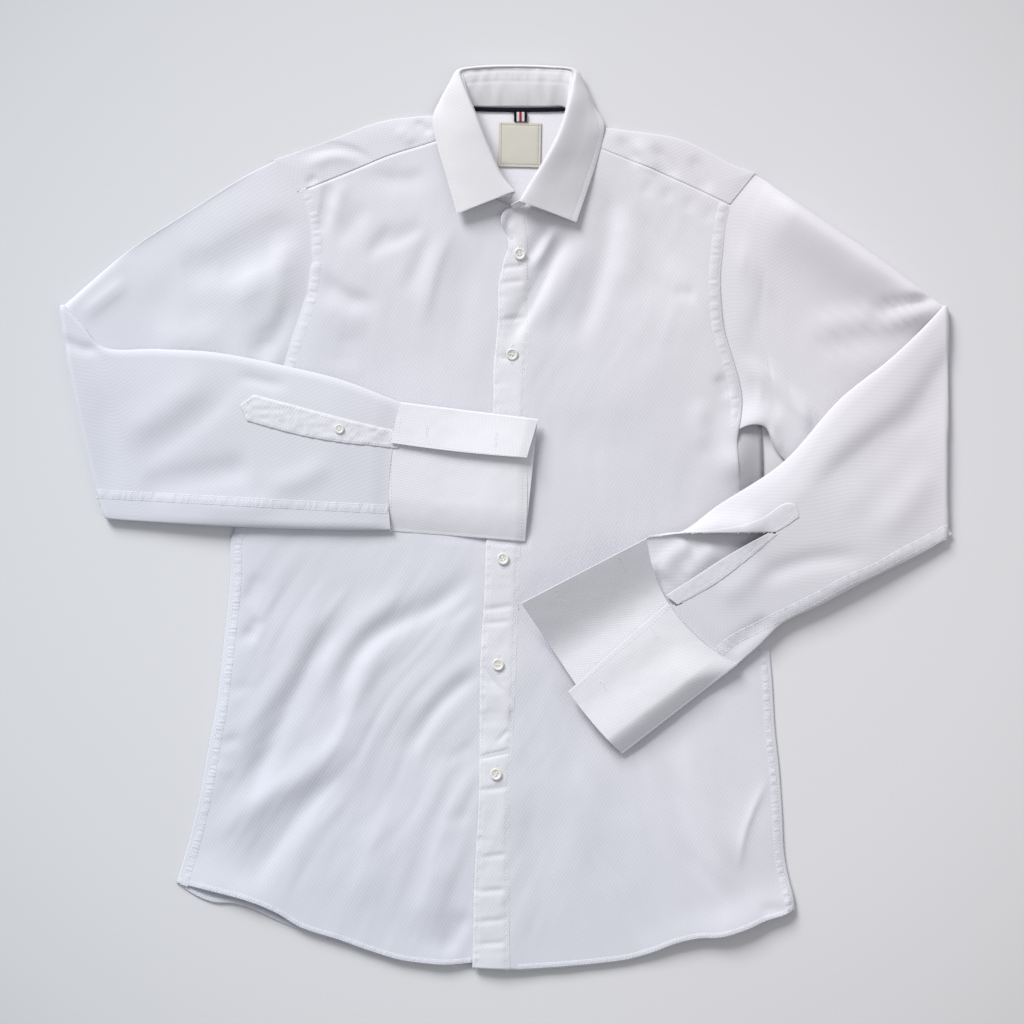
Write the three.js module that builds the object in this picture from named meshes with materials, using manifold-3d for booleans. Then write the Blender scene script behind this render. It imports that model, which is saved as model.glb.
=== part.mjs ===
// A men's long-sleeved dress shirt with double cuffs, buttoned and laid flat on its back, with each sleeve
// bent once at the elbow so that the forearms lie across the front.
// Millimetres. +Z is up, +Y points to the collar and +X to the wearer's left. The origin is under the middle
// of the shirt, on the surface it lies on. Every layer of cloth is a wall CLOTH thick, and layers and pieces
// that meet at a seam stay GAP apart.
import * as THREE from "three";
import { mergeVertices } from "three/addons/utils/BufferGeometryUtils.js";
import Module from "manifold-3d";

const wasm = await Module();
wasm.setup();

// ---- driving dimensions ----
const CLOTH = 1; // wall of one layer
const GAP = 0.3; // clear space between layers and at seams
const LAYER = CLOTH + GAP; // from one layer's underside to the next one's
const SEAM_INSET = 0.7; // body edges stand this far inside the curved armhole seams
const SLEEVE_HOLLOW = 0.6; // clear space inside a flattened sleeve
const SLEEVE = 2 * CLOTH + SLEEVE_HOLLOW; // a flattened sleeve's whole thickness
const FOREARM_BASE = 7.7; // underside of the forearms, above the fronts, placket and buttons
const FOREARM_TOP = FOREARM_BASE + SLEEVE; // top of a flattened forearm
const BACK_SEAM_Y = 271; // seam between back and yoke
const BAND = 29; // width of the button placket
const FRONT_COLUMNS = 12; // grid steps across a front
const FRONT_ROWS = 29; // grid steps up a front
const BUTTON = { radius: 5.7, rim: 1.1, dish: 0.5, height: 2.2 };
const SLEEVE_BUTTON = { radius: 4.4, rim: 0.9, dish: 0.4, height: 1.8 };

// ---- finishes ----
const finish = (color, roughness = 0.85) =>
  new THREE.MeshStandardMaterial({ color, roughness, metalness: 0 });
const COTTON = finish(0xe3e5f0);
const RIBBON = finish(0x2b3350, 0.7);
const LABEL_CLOTH = finish(0xd8d4c8, 0.8);
const BUTTON_PLASTIC = finish(0xe4ddd0, 0.35);

// ---- curves and grids ----
const point = (x, y, z = 0) => new THREE.Vector3(x, y, z);
const mix = (a, b, t) => a.clone().lerp(b, t);

// A smooth curve through the rows of a table, read by the fraction of its length.
function smooth(rows) {
  const curve = new THREE.CatmullRomCurve3(rows.map((r) => point(...r)));
  curve.arcLengthDivisions = 400;
  return (t) => curve.getPointAt(Math.min(Math.max(t, 0), 1));
}

// Two curves end to end, the first taking the fraction split of the whole.
const joined = (first, second, split) => (t) =>
  t < split ? first(t / split) : second((t - split) / (1 - split));

const grid = (rows, columns, at) =>
  Array.from({ length: rows + 1 }, (_, i) =>
    Array.from({ length: columns + 1 }, (_, j) => at(i / rows, j / columns)),
  );

// A Coons patch: the surface spanned by four edge curves, with u across and v up.
function coons(bottom, top, left, right) {
  const corners = [bottom(0), bottom(1), top(0), top(1)];
  return (v, u) =>
    mix(bottom(u), top(u), v)
      .add(mix(left(v), right(v), u))
      .sub(mix(mix(corners[0], corners[1], u), mix(corners[2], corners[3], u), v));
}

// ---- closed bodies ----
// A geometry from a list of points and quads, turned outwards if its volume comes out negative.
function closedBody(points, quads) {
  let index = quads.flatMap(([a, b, c, d]) => [a, b, c, a, c, d]);
  let volume = 0;
  for (let i = 0; i < index.length; i += 3) {
    const [a, b, c] = index.slice(i, i + 3).map((k) => points[k]);
    volume += a.clone().cross(b).dot(c);
  }
  if (volume < 0) index = index.reverse();
  const geometry = new THREE.BufferGeometry().setFromPoints(points);
  geometry.setIndex(index);
  return geometry;
}

// The wall between two grids of points of the same size, closed round its four edges.
function wallBetween(lower, upper) {
  const rows = lower.length;
  const columns = lower[0].length;
  const points = [...lower.flat(), ...upper.flat()];
  const under = (i, j) => i * columns + j;
  const over = (i, j) => rows * columns + i * columns + j;
  const quads = [];
  for (let i = 0; i + 1 < rows; i++) {
    for (let j = 0; j + 1 < columns; j++) {
      quads.push([under(i, j), under(i + 1, j), under(i + 1, j + 1), under(i, j + 1)]);
      quads.push([over(i, j), over(i, j + 1), over(i + 1, j + 1), over(i + 1, j)]);
    }
    quads.push([under(i, 0), over(i, 0), over(i + 1, 0), under(i + 1, 0)]);
    const last = columns - 1;
    quads.push([under(i, last), under(i + 1, last), over(i + 1, last), over(i, last)]);
  }
  for (let j = 0; j + 1 < columns; j++) {
    quads.push([under(0, j), under(0, j + 1), over(0, j + 1), over(0, j)]);
    const last = rows - 1;
    quads.push([under(last, j), over(last, j), over(last, j + 1), under(last, j + 1)]);
  }
  return closedBody(points, quads);
}

const raised = (cells, height) => cells.map((row) => row.map((p) => p.clone().setZ(p.z + height)));

// A nearly level panel: the grid is its underside and the wall stands CLOTH above it.
const panel = (cells) => wallBetween(cells, raised(cells, CLOTH));

// A bent wall: the grid is its middle surface, moved half of CLOTH each way along its normals.
function bentWall(cells) {
  const at = (i, j) =>
    cells[Math.min(Math.max(i, 0), cells.length - 1)][Math.min(Math.max(j, 0), cells[0].length - 1)];
  const moved = (side) =>
    cells.map((row, i) =>
      row.map((p, j) => {
        const across = at(i, j + 1).clone().sub(at(i, j - 1));
        const normal = at(i + 1, j).clone().sub(at(i - 1, j)).cross(across).normalize();
        return p.clone().addScaledVector(normal, (side * CLOTH) / 2);
      }),
    );
  return wallBetween(moved(-1), moved(1));
}

// A level plate with the given outline, CLOTH thick, with its underside at height z.
function plate(outline, z, thickness = CLOTH) {
  const shape = new THREE.Shape(outline.map(([x, y]) => new THREE.Vector2(x, y)));
  const geometry = new THREE.ExtrudeGeometry(shape, { depth: thickness, bevelEnabled: false });
  return geometry.translate(0, 0, z);
}

// ---- joining and cutting ----
function solid(geometry) {
  const bare = geometry.clone();
  bare.deleteAttribute("normal");
  bare.deleteAttribute("uv");
  const merged = mergeVertices(bare, 1e-4);
  return new wasm.Manifold(
    new wasm.Mesh({
      numProp: 3,
      vertProperties: merged.attributes.position.array,
      triVerts: new Uint32Array(merged.index.array),
    }),
  );
}

function geometryOf(manifold) {
  const { vertProperties, triVerts } = manifold.getMesh();
  const geometry = new THREE.BufferGeometry();
  geometry.setAttribute("position", new THREE.BufferAttribute(vertProperties, 3));
  return geometry.setIndex(new THREE.BufferAttribute(triVerts, 1));
}

// ---- folds ----
// Each fold is a soft ridge along a line from (x0, y0) to (x1, y1), width across and height at its middle,
// fading out at both ends. The height over a place is the tallest ridge there.
const FRONT_RIGHT_FOLDS = [
  { x0: -140, y0: -70, x1: -205, y1: -170, width: 60, height: 2.6 },
  { x0: -190, y0: -120, x1: -262, y1: -290, width: 52, height: 3 },
  { x0: -95, y0: -95, x1: -150, y1: -210, width: 64, height: 2.8 },
  { x0: -55, y0: -190, x1: -120, y1: -330, width: 70, height: 2.4 },
  { x0: -100, y0: 250, x1: -70, y1: 150, width: 60, height: 2 },
  { x0: -150, y0: 260, x1: -125, y1: 180, width: 50, height: 1.6 },
];
const FRONT_LEFT_FOLDS = [
  { x0: 80, y0: 250, x1: 55, y1: 120, width: 56, height: 2.4 },
  { x0: 110, y0: 260, x1: 150, y1: 190, width: 50, height: 1.8 },
  { x0: 150, y0: -200, x1: 185, y1: -340, width: 56, height: 3 },
  { x0: 225, y0: -230, x1: 205, y1: -330, width: 50, height: 2.4 },
  { x0: 60, y0: -230, x1: 90, y1: -360, width: 60, height: 2 },
];
const SLEEVE_RIGHT_FOLDS = [
  { x0: -195, y0: 245, x1: -245, y1: 215, width: 50, height: 2.2 },
  { x0: -190, y0: 195, x1: -222, y1: 160, width: 44, height: 1.8 },
];
const SLEEVE_LEFT_FOLDS = [
  { x0: 215, y0: 262, x1: 280, y1: 248, width: 50, height: 2.2 },
  { x0: 205, y0: 150, x1: 245, y1: 120, width: 44, height: 1.8 },
];

function foldHeight(folds, x, y) {
  let tallest = 0;
  for (const { x0, y0, x1, y1, width, height } of folds) {
    const length = Math.hypot(x1 - x0, y1 - y0);
    const along = ((x - x0) * (x1 - x0) + (y - y0) * (y1 - y0)) / length ** 2;
    const across = ((x - x0) * (y1 - y0) - (y - y0) * (x1 - x0)) / length;
    const reach = Math.abs(across) / (width / 2);
    if (along <= 0 || along >= 1 || reach >= 1) continue;
    const ridge = Math.cos((Math.PI / 2) * reach) ** 2 * Math.sin(Math.PI * along);
    tallest = Math.max(tallest, height * ridge);
  }
  return tallest;
}

// ---- seam lines shared by the pieces that meet there ----
// An armhole seam is a parabola from the shoulder tip to the armpit that bulges towards the body.
const ARMHOLE_RIGHT = { a: [-208, 321], b: [-233, 78], bulge: 42, yokeShare: 0.125 };
const ARMHOLE_LEFT = { a: [227, 309], b: [228, 83], bulge: -32, yokeShare: 0.125 };
const NECK_SHOULDER_RIGHT = [-47, 343];
const NECK_SHOULDER_LEFT = [72, 337];

// Points of the line from a to b, bulging square to it, read by the share t of the way.
function ringLine({ a, b, bulge }) {
  const start = point(...a);
  const end = point(...b);
  const run = end.clone().sub(start);
  const square = point(-run.y, run.x).normalize();
  return (t) => mix(start, end, t).addScaledVector(square, bulge * 4 * t * (1 - t));
}

const armhole = (hole, t, inset = 0) => ringLine(hole)(t).add(point(inset * Math.sign(hole.bulge), 0));

// The share of the way down an armhole at which it reaches the height y.
const shareAt = ({ a, b }, y) => (a[1] - y) / (a[1] - b[1]);

const bodyEdge = (hole, from, to, steps) =>
  Array.from({ length: steps + 1 }, (_, i) => {
    const p = armhole(hole, from + ((to - from) * i) / steps, SEAM_INSET);
    return [p.x, p.y];
  });

const yokeSeamRight = smooth([
  armhole(ARMHOLE_RIGHT, ARMHOLE_RIGHT.yokeShare, SEAM_INSET).toArray(),
  [-139, 310],
  [-104, 325],
  [-63, 338],
  NECK_SHOULDER_RIGHT,
]);
const yokeSeamLeft = smooth([
  NECK_SHOULDER_LEFT,
  [87, 331],
  [126, 316],
  [169, 297],
  armhole(ARMHOLE_LEFT, ARMHOLE_LEFT.yokeShare, SEAM_INSET).toArray(),
]);
const atFront = (curve) => (t) => curve(t).add(point(0, -2 * GAP));

// ---- the body ----
const SIDE_RIGHT = [
  [-293, -329],
  [-281, -287],
  [-264, -202],
  [-251, -111],
  [-241, -10],
];
const SIDE_LEFT_BACK = [
  [261, -353],
  [249, -267],
  [240, -149],
  [235, -39],
  [232, 39],
];
const SIDE_LEFT_FRONT = [
  [261, -353],
  [249, -267],
  [240, -149],
  [232, -57],
  [212, 20],
  [209, 58],
];
const BACK_HEM = [
  [-278, -340],
  [-245, -347],
  [-201, -364],
  [-160, -381],
  [-90, -396],
  [0, -400],
  [90, -394],
  [170, -374],
  [230, -360],
];

function makeBack() {
  const pit = 0.985;
  const start = (hole) => shareAt(hole, BACK_SEAM_Y);
  return plate(
    [
      ...bodyEdge(ARMHOLE_RIGHT, start(ARMHOLE_RIGHT), pit, 10),
      ...[...SIDE_RIGHT].reverse(),
      ...BACK_HEM,
      ...SIDE_LEFT_BACK,
      ...bodyEdge(ARMHOLE_LEFT, pit, start(ARMHOLE_LEFT), 10),
    ],
    0,
  );
}

// The yoke is one plate under the neck, and on each shoulder it turns over to the front as a flap.
const shoulderRight = smooth([
  armhole(ARMHOLE_RIGHT, 0, SEAM_INSET).toArray(),
  [-157, 340],
  [-112, 356],
  [-65, 361],
  [-50, 361],
]);
const shoulderLeft = smooth([
  [76, 355],
  [93, 351],
  [150, 342],
  [196, 323],
  armhole(ARMHOLE_LEFT, 0, SEAM_INSET).toArray(),
]);
const SHOULDER_STEPS = 7;
const NECK_BACK = [
  [-41, 359],
  [-29, 366.5],
  [11, 367.5],
  [57, 366.5],
  [68, 358],
];
const TURN_OUTER = CLOTH + GAP / 2; // outer radius of the turn over the shoulder

function shoulderFlap(shoulder, seam) {
  const turn = TURN_OUTER - CLOTH / 2;
  const arcSteps = 4;
  const tuck = 9;
  const section = ([share]) => {
    const fold = shoulder(share);
    const end = seam(share);
    const out = fold.clone().sub(end).setZ(0).normalize();
    const centre = fold.clone().addScaledVector(out, -TURN_OUTER).setZ(TURN_OUTER);
    const arc = Array.from({ length: arcSteps + 1 }, (_, i) => {
      const angle = Math.PI * (i / arcSteps - 0.5);
      return centre
        .clone()
        .addScaledVector(out, turn * Math.cos(angle))
        .add(point(0, 0, turn * Math.sin(angle)));
    });
    const start = arc[0].clone().addScaledVector(out, -tuck);
    end.setZ(LAYER + CLOTH / 2);
    return [start, ...arc, mix(arc[arcSteps], end, 0.5), end];
  };
  return bentWall(grid(SHOULDER_STEPS, 0, (share) => share).map(section));
}

function makeYoke() {
  const share = (hole) => shareAt(hole, BACK_SEAM_Y + 2 * GAP);
  const inner = (shoulder) =>
    [0.15, 0.4, 0.65, 0.9].map((t) => [shoulder(t).x, shoulder(t).y - TURN_OUTER - GAP]);
  const base = plate(
    [
      ...bodyEdge(ARMHOLE_RIGHT, 0.012, share(ARMHOLE_RIGHT), 4),
      ...bodyEdge(ARMHOLE_LEFT, share(ARMHOLE_LEFT), 0.012, 4),
      ...inner(shoulderLeft).reverse(),
      ...[...NECK_BACK].reverse(),
      ...inner(shoulderRight).reverse(),
    ],
    0,
  );
  return geometryOf(
    solid(base)
      .add(solid(shoulderFlap(shoulderRight, yokeSeamRight)))
      .add(solid(shoulderFlap(shoulderLeft, yokeSeamLeft))),
  );
}

// The right front lies under; its free edge runs the width of the placket inside the left front's.
const FRONT_EDGE_LEFT = [
  [-28, -406],
  [-25, -324],
  [-22, -248],
  [-20, -120],
  [-16, -23],
  [-10, 96],
  [-7, 159],
  [-5, 210],
  [1, 231],
  [6, 247],
  [0, 262],
  [-2, 272],
];
const frontEdgeLeft = smooth(FRONT_EDGE_LEFT);

function makeFrontRight() {
  const sideShare = 0.66;
  const yokeShare = 7 / FRONT_COLUMNS;
  const bottom = smooth([
    SIDE_RIGHT[0],
    [-230, -345],
    [-182, -369],
    [-121, -390],
    [-76, -400],
    [-29, -401],
    [1, -400],
  ]);
  const neckline = smooth([NECK_SHOULDER_RIGHT, [-37, 321], [-22, 299], [1, 283], [24, 274]]);
  const top = joined(atFront(yokeSeamRight), atFront(neckline), yokeShare);
  const pit = 0.985;
  const side = smooth([...SIDE_RIGHT, armhole(ARMHOLE_RIGHT, pit, SEAM_INSET).toArray()]);
  const { yokeShare: seamEnd } = ARMHOLE_RIGHT;
  const hole = (t) => armhole(ARMHOLE_RIGHT, pit + (seamEnd + 0.004 - pit) * t, SEAM_INSET);
  const inner = (t) => mix(frontEdgeLeft(t), bottom(1), (1 - t) ** 8).add(point(BAND - 4, 0));
  const edge = (t) => mix(mix(bottom(1), top(1), t), inner(t).setY(mix(bottom(1), top(1), t).y), 0.9);
  const ends = (t) => (t <= 0 ? bottom(1) : t >= 1 ? top(1) : edge(t));
  const patch = coons(bottom, top, joined(side, hole, sideShare), ends);
  const underLap = 0.72; // the folds end before the part that lies under the left front
  return panel(
    grid(FRONT_ROWS, FRONT_COLUMNS, (v, u) => {
      const p = patch(v, u);
      const fade = THREE.MathUtils.smoothstep(underLap - u, 0, 0.2);
      return p.setZ(LAYER + fade * foldHeight(FRONT_RIGHT_FOLDS, p.x, p.y));
    }),
  );
}

// The left front's grid: two columns across the placket, then a patch to the side seam and the armhole.
function frontLeftCells() {
  const sideShare = 0.64;
  const neckShare = 4 / FRONT_COLUMNS;
  const bandSteps = 2;
  const bandEdge = (t) => frontEdgeLeft(t).add(point(BAND, 0));
  const bottom = smooth([
    bandEdge(0).toArray(),
    [38, -405],
    [104, -399],
    [174, -379],
    [219, -370],
    SIDE_LEFT_FRONT[0],
  ]);
  const neckline = smooth([bandEdge(1).toArray(), [46, 290], [61, 307], [69, 326], NECK_SHOULDER_LEFT]);
  const top = joined(atFront(neckline), atFront(yokeSeamLeft), neckShare);
  const pit = 0.93;
  const side = smooth([...SIDE_LEFT_FRONT, armhole(ARMHOLE_LEFT, pit, SEAM_INSET).toArray()]);
  const { yokeShare: seamEnd } = ARMHOLE_LEFT;
  const hole = (t) => armhole(ARMHOLE_LEFT, pit + (seamEnd + 0.004 - pit) * t, SEAM_INSET);
  const patch = coons(bottom, top, bandEdge, joined(side, hole, sideShare));
  const base = (u) => LAYER * (2 - THREE.MathUtils.smoothstep(u, 0.1, 0.4));
  const cells = grid(FRONT_ROWS, FRONT_COLUMNS, (v, u) => {
    const p = patch(v, u);
    const fade = THREE.MathUtils.smoothstep(u, 0, 0.2);
    return p.setZ(base(u) + fade * foldHeight(FRONT_LEFT_FOLDS, p.x, p.y));
  });
  return cells.map((row, i) => {
    const free = frontEdgeLeft(i / FRONT_ROWS).setZ(row[0].z);
    const band = Array.from({ length: bandSteps }, (_, k) => mix(free, row[0], k / bandSteps));
    return [...band, ...row];
  });
}

const FRONT_LEFT_CELLS = frontLeftCells();
const PLACKET_CELLS = raised(
  FRONT_LEFT_CELLS.map((row) => row.slice(0, 3)),
  LAYER,
);

// ---- sleeves ----
// A row is a ring of the flattened tube: a is its end on the upper edge and b on the lower edge.
// bulge pushes the middle of the ring along the sleeve, to the right in the plan.
const SLEEVE_RIGHT = {
  upper: [
    ARMHOLE_RIGHT,
    { a: [-239, 301], b: [-254, 64], bulge: 27 },
    { a: [-283, 274], b: [-283, 46], bulge: 13 },
    { a: [-337, 240], b: [-319, 24], bulge: 4 },
  ],
  elbow: { a: [-400, 190], b: [-360, -2], out: -1 },
  forearm: [
    { a: [-378, 172], b: [-345, -3], bulge: 0 },
    { a: [-356, 154], b: [-325, -4], bulge: 0 },
    { a: [-310, 151], b: [-287, -6], bulge: 0 },
    { a: [-258, 148], b: [-238, -9], bulge: 0 },
    { a: [-197, 136], b: [-184, -11], bulge: -1 },
    { a: [-143, 122], b: [-139, -12], bulge: -3 },
    { a: [-90, 103], b: [-103, -12], bulge: -6 },
  ],
  folds: SLEEVE_RIGHT_FOLDS,
};
const SLEEVE_LEFT = {
  upper: [
    ARMHOLE_LEFT,
    { a: [262, 291], b: [252, 52], bulge: -20 },
    { a: [297, 262], b: [290, 26], bulge: -9 },
    { a: [340, 236], b: [335, 4], bulge: -3 },
  ],
  elbow: { a: [400, 193], b: [398, -22], out: 1 },
  forearm: [
    { a: [372, 166], b: [379, -30], bulge: 0 },
    { a: [346, 141], b: [353, -43], bulge: 0 },
    { a: [301, 105], b: [322, -58], bulge: 0 },
    { a: [250, 50], b: [284, -79], bulge: -2 },
    { a: [191, 10], b: [247, -98], bulge: -8 },
    { a: [160, -12], b: [228, -116], bulge: -14 },
    { a: [127, -19], b: [208, -133], bulge: -18 },
  ],
  folds: SLEEVE_LEFT_FOLDS,
};
const ACROSS = 9; // points on each wall of a ring
const ELBOW_STEPS = 6;

// One closed loop round a ring: the first wall from end a to end b, then the second wall back.
// away is the direction from the middle line to the first wall, and lift raises the wall that shows.
function ringLoop(line, away, half, margin, lift) {
  const width = line(0).distanceTo(line(1));
  const rim = margin / width;
  const steps = Array.from({ length: ACROSS }, (_, k) => rim + (1 - 2 * rim) * ((k + 0.5) / ACROSS));
  const wall = (side) => (t) => {
    const p = line(t);
    p.addScaledVector(away, side * half);
    return p.setZ(p.z + lift(p, side));
  };
  const ends = [rim, 1 - rim].map((t) => line(t));
  return [ends[0], ...steps.map(wall(1)), ends[1], ...[...steps].reverse().map(wall(-1))];
}

function makeSleeve({ upper, elbow, forearm, folds }) {
  const axisHeight = (FOREARM_BASE + SLEEVE) / 2;
  const turn = axisHeight - SLEEVE / 2;
  const reach = turn + SLEEVE / 2;
  const axis = ringLine({ ...elbow, bulge: 0 });
  const outward = point(elbow.out, 0);
  const up = point(0, 0, 1);
  const down = up.clone().negate();
  const still = () => 0;
  const uppers = upper.map((row) => {
    const flat = ringLine(row);
    const line = (t) => flat(t).setZ(SLEEVE / 2);
    const lift = (p, side) => (side > 0 ? foldHeight(folds, p.x, p.y) : 0);
    return { line, away: up, lift };
  });
  const turns = Array.from({ length: ELBOW_STEPS + 1 }, (_, i) => {
    const angle = (Math.PI * i) / ELBOW_STEPS;
    const spoke = outward.clone().multiplyScalar(Math.sin(angle)).addScaledVector(down, Math.cos(angle));
    const line = (t) =>
      axis(t).addScaledVector(outward, -reach).setZ(axisHeight).addScaledVector(spoke, turn);
    return { line, away: spoke.clone().negate(), lift: still };
  });
  const forearms = forearm.map((row) => {
    const flat = ringLine(row);
    const line = (t) => flat(t).setZ(FOREARM_BASE + SLEEVE / 2);
    return { line, away: down, lift: still };
  });
  const rings = [...uppers, ...turns, ...forearms];
  const loops = (half, margin) => rings.map(({ line, away, lift }) => ringLoop(line, away, half, margin, lift));
  return tubeBetween(loops(SLEEVE / 2, 0), loops(SLEEVE_HOLLOW / 2, CLOTH));
}

// A tube with an outer and an inner skin, each a list of loops, joined by a rim at both ends.
function tubeBetween(outer, inner) {
  const rings = outer.length;
  const around = outer[0].length;
  const points = [...outer.flat(), ...inner.flat()];
  const out = (i, j) => i * around + (j % around);
  const into = (i, j) => (rings + i) * around + (j % around);
  const quads = [];
  for (let j = 0; j < around; j++) {
    for (let i = 0; i + 1 < rings; i++) {
      quads.push([out(i, j), out(i + 1, j), out(i + 1, j + 1), out(i, j + 1)]);
      quads.push([into(i, j), into(i, j + 1), into(i + 1, j + 1), into(i + 1, j)]);
    }
    const last = rings - 1;
    quads.push([out(0, j), out(0, j + 1), into(0, j + 1), into(0, j)]);
    quads.push([out(last, j), into(last, j), into(last, j + 1), out(last, j + 1)]);
  }
  return closedBody(points, quads);
}

// The slit of the left sleeve gapes: a long triangle is open in the upper wall of the forearm.
const SLIT = [
  [243, -14],
  [175, -13],
  [160, -4],
  [110, -4],
  [110, -62],
  [139, -82],
];

function makeSleeveLeft() {
  const middle = FOREARM_BASE + SLEEVE / 2 + 0.05;
  return geometryOf(solid(makeSleeve(SLEEVE_LEFT)).subtract(solid(plate(SLIT, middle, SLEEVE))));
}

const SLEEVE_PLACKET_RIGHT = [
  [-236, 100],
  [-224, 109],
  [-201, 103],
  [-171, 94],
  [-139, 86],
  [-101, 75],
  [-104, 68],
  [-140, 66],
  [-165, 69],
  [-195, 76],
  [-230, 86],
];
const SLEEVE_PLACKET_LEFT = [
  [245, -12],
  [264, -1],
  [264, 7],
  [254, 12],
  [245, 9],
  [230, -2],
  [206, -9],
  [188, -10],
  [192, -12.5],
];
const UNDER_PLACKET_LEFT = [
  [240, -17],
  [205, -34],
  [150, -74],
  [156, -80],
  [212, -37],
  [242, -18],
];

// ---- cuffs ----
// The right cuff is closed: its strip starts under the flap, turns round the lower edge, runs under to the
// upper edge, and comes back over itself as the flap. The shares say how far down the cuff each part reaches.
const CUFF_RIGHT = {
  seam: { upper: [-89.4, 103], lower: [-102.4, -12], bulge: -6 },
  end: { upper: [30, 87], lower: [19, -22], bulge: 0 },
  startShare: 0.2,
  flapShare: 0.32,
};
// The left cuff is open: its strip runs from a lifted free edge down to the fold and back as the flap.
const CUFF_LEFT = {
  seam: { upper: [125.6, -20], lower: [206.6, -134], bulge: -18 },
  end: { upper: [15, -76], lower: [106, -212], bulge: 0 },
  flapBulge: -9,
  flapShare: { seam: 0.42, end: 0.55 },
  lift: { seam: 4, end: 20, share: 0.5 },
};
const CUFF_STATIONS = 5;
const ARC_STEPS = 4;

const mixRow = (p, q, t) => ({
  a: mix(point(...p.upper), point(...q.upper), t).toArray(),
  b: mix(point(...p.lower), point(...q.lower), t).toArray(),
  bulge: p.bulge + (q.bulge - p.bulge) * t,
});

// Half a turn at the place share on a line, from one height to another, outwards past its end.
function cuffTurn(line, share, from, to) {
  const centre = line(share);
  const toward = line(share).sub(line(1 - share)).normalize();
  const radius = Math.abs(to - from) / 2;
  const outer = radius + CLOTH / 2;
  return Array.from({ length: ARC_STEPS + 1 }, (_, i) => {
    const angle = (Math.PI * i) / ARC_STEPS;
    return centre
      .clone()
      .addScaledVector(toward, radius * Math.sin(angle) - outer)
      .setZ((from + to) / 2 + ((from - to) / 2) * Math.cos(angle));
  });
}

const run = (line, from, to, steps, height) =>
  Array.from({ length: steps }, (_, i) => {
    const t = from + ((to - from) * i) / steps;
    return line(t).setZ(height(t));
  });

function makeCuffRight() {
  const under = FOREARM_BASE + CLOTH / 2;
  const middle = under + LAYER;
  const over = middle + LAYER;
  const { seam, end, startShare, flapShare } = CUFF_RIGHT;
  const station = (s) => {
    const line = ringLine(mixRow(seam, end, s));
    return [
      ...run(line, startShare, 0.97, 3, () => middle),
      ...cuffTurn(line, 1, middle, under),
      ...run(line, 0.9, 0.05, 4, () => under),
      ...cuffTurn(line, 0, under, over),
      ...run(line, 0.06, flapShare, 2, () => over),
      line(flapShare).setZ(over),
    ];
  };
  return bentWall(grid(CUFF_STATIONS, 0, (s) => s).map(([s]) => station(s)));
}

function makeCuffLeft() {
  const under = FOREARM_BASE + CLOTH / 2;
  const over = under + 2;
  const { seam, end, flapBulge, flapShare, lift } = CUFF_LEFT;
  const station = (s) => {
    const line = ringLine(mixRow(seam, end, s));
    const flapLine = ringLine({ ...mixRow(seam, end, s), bulge: seam.bulge + (flapBulge - seam.bulge) * s });
    const rise = lift.seam + (lift.end - lift.seam) * s;
    const height = (t) => under + rise * Math.max(0, 1 - t / lift.share) ** 2;
    const flapEnd = flapShare.seam + (flapShare.end - flapShare.seam) * s;
    return [
      ...run(line, 0, 0.95, 8, height),
      ...cuffTurn(line, 1, under, over),
      ...run(flapLine, 0.93, flapEnd, 3, () => over),
      flapLine(flapEnd).setZ(over),
    ];
  };
  return bentWall(grid(CUFF_STATIONS, 0, (s) => s).map(([s]) => station(s)));
}

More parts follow.
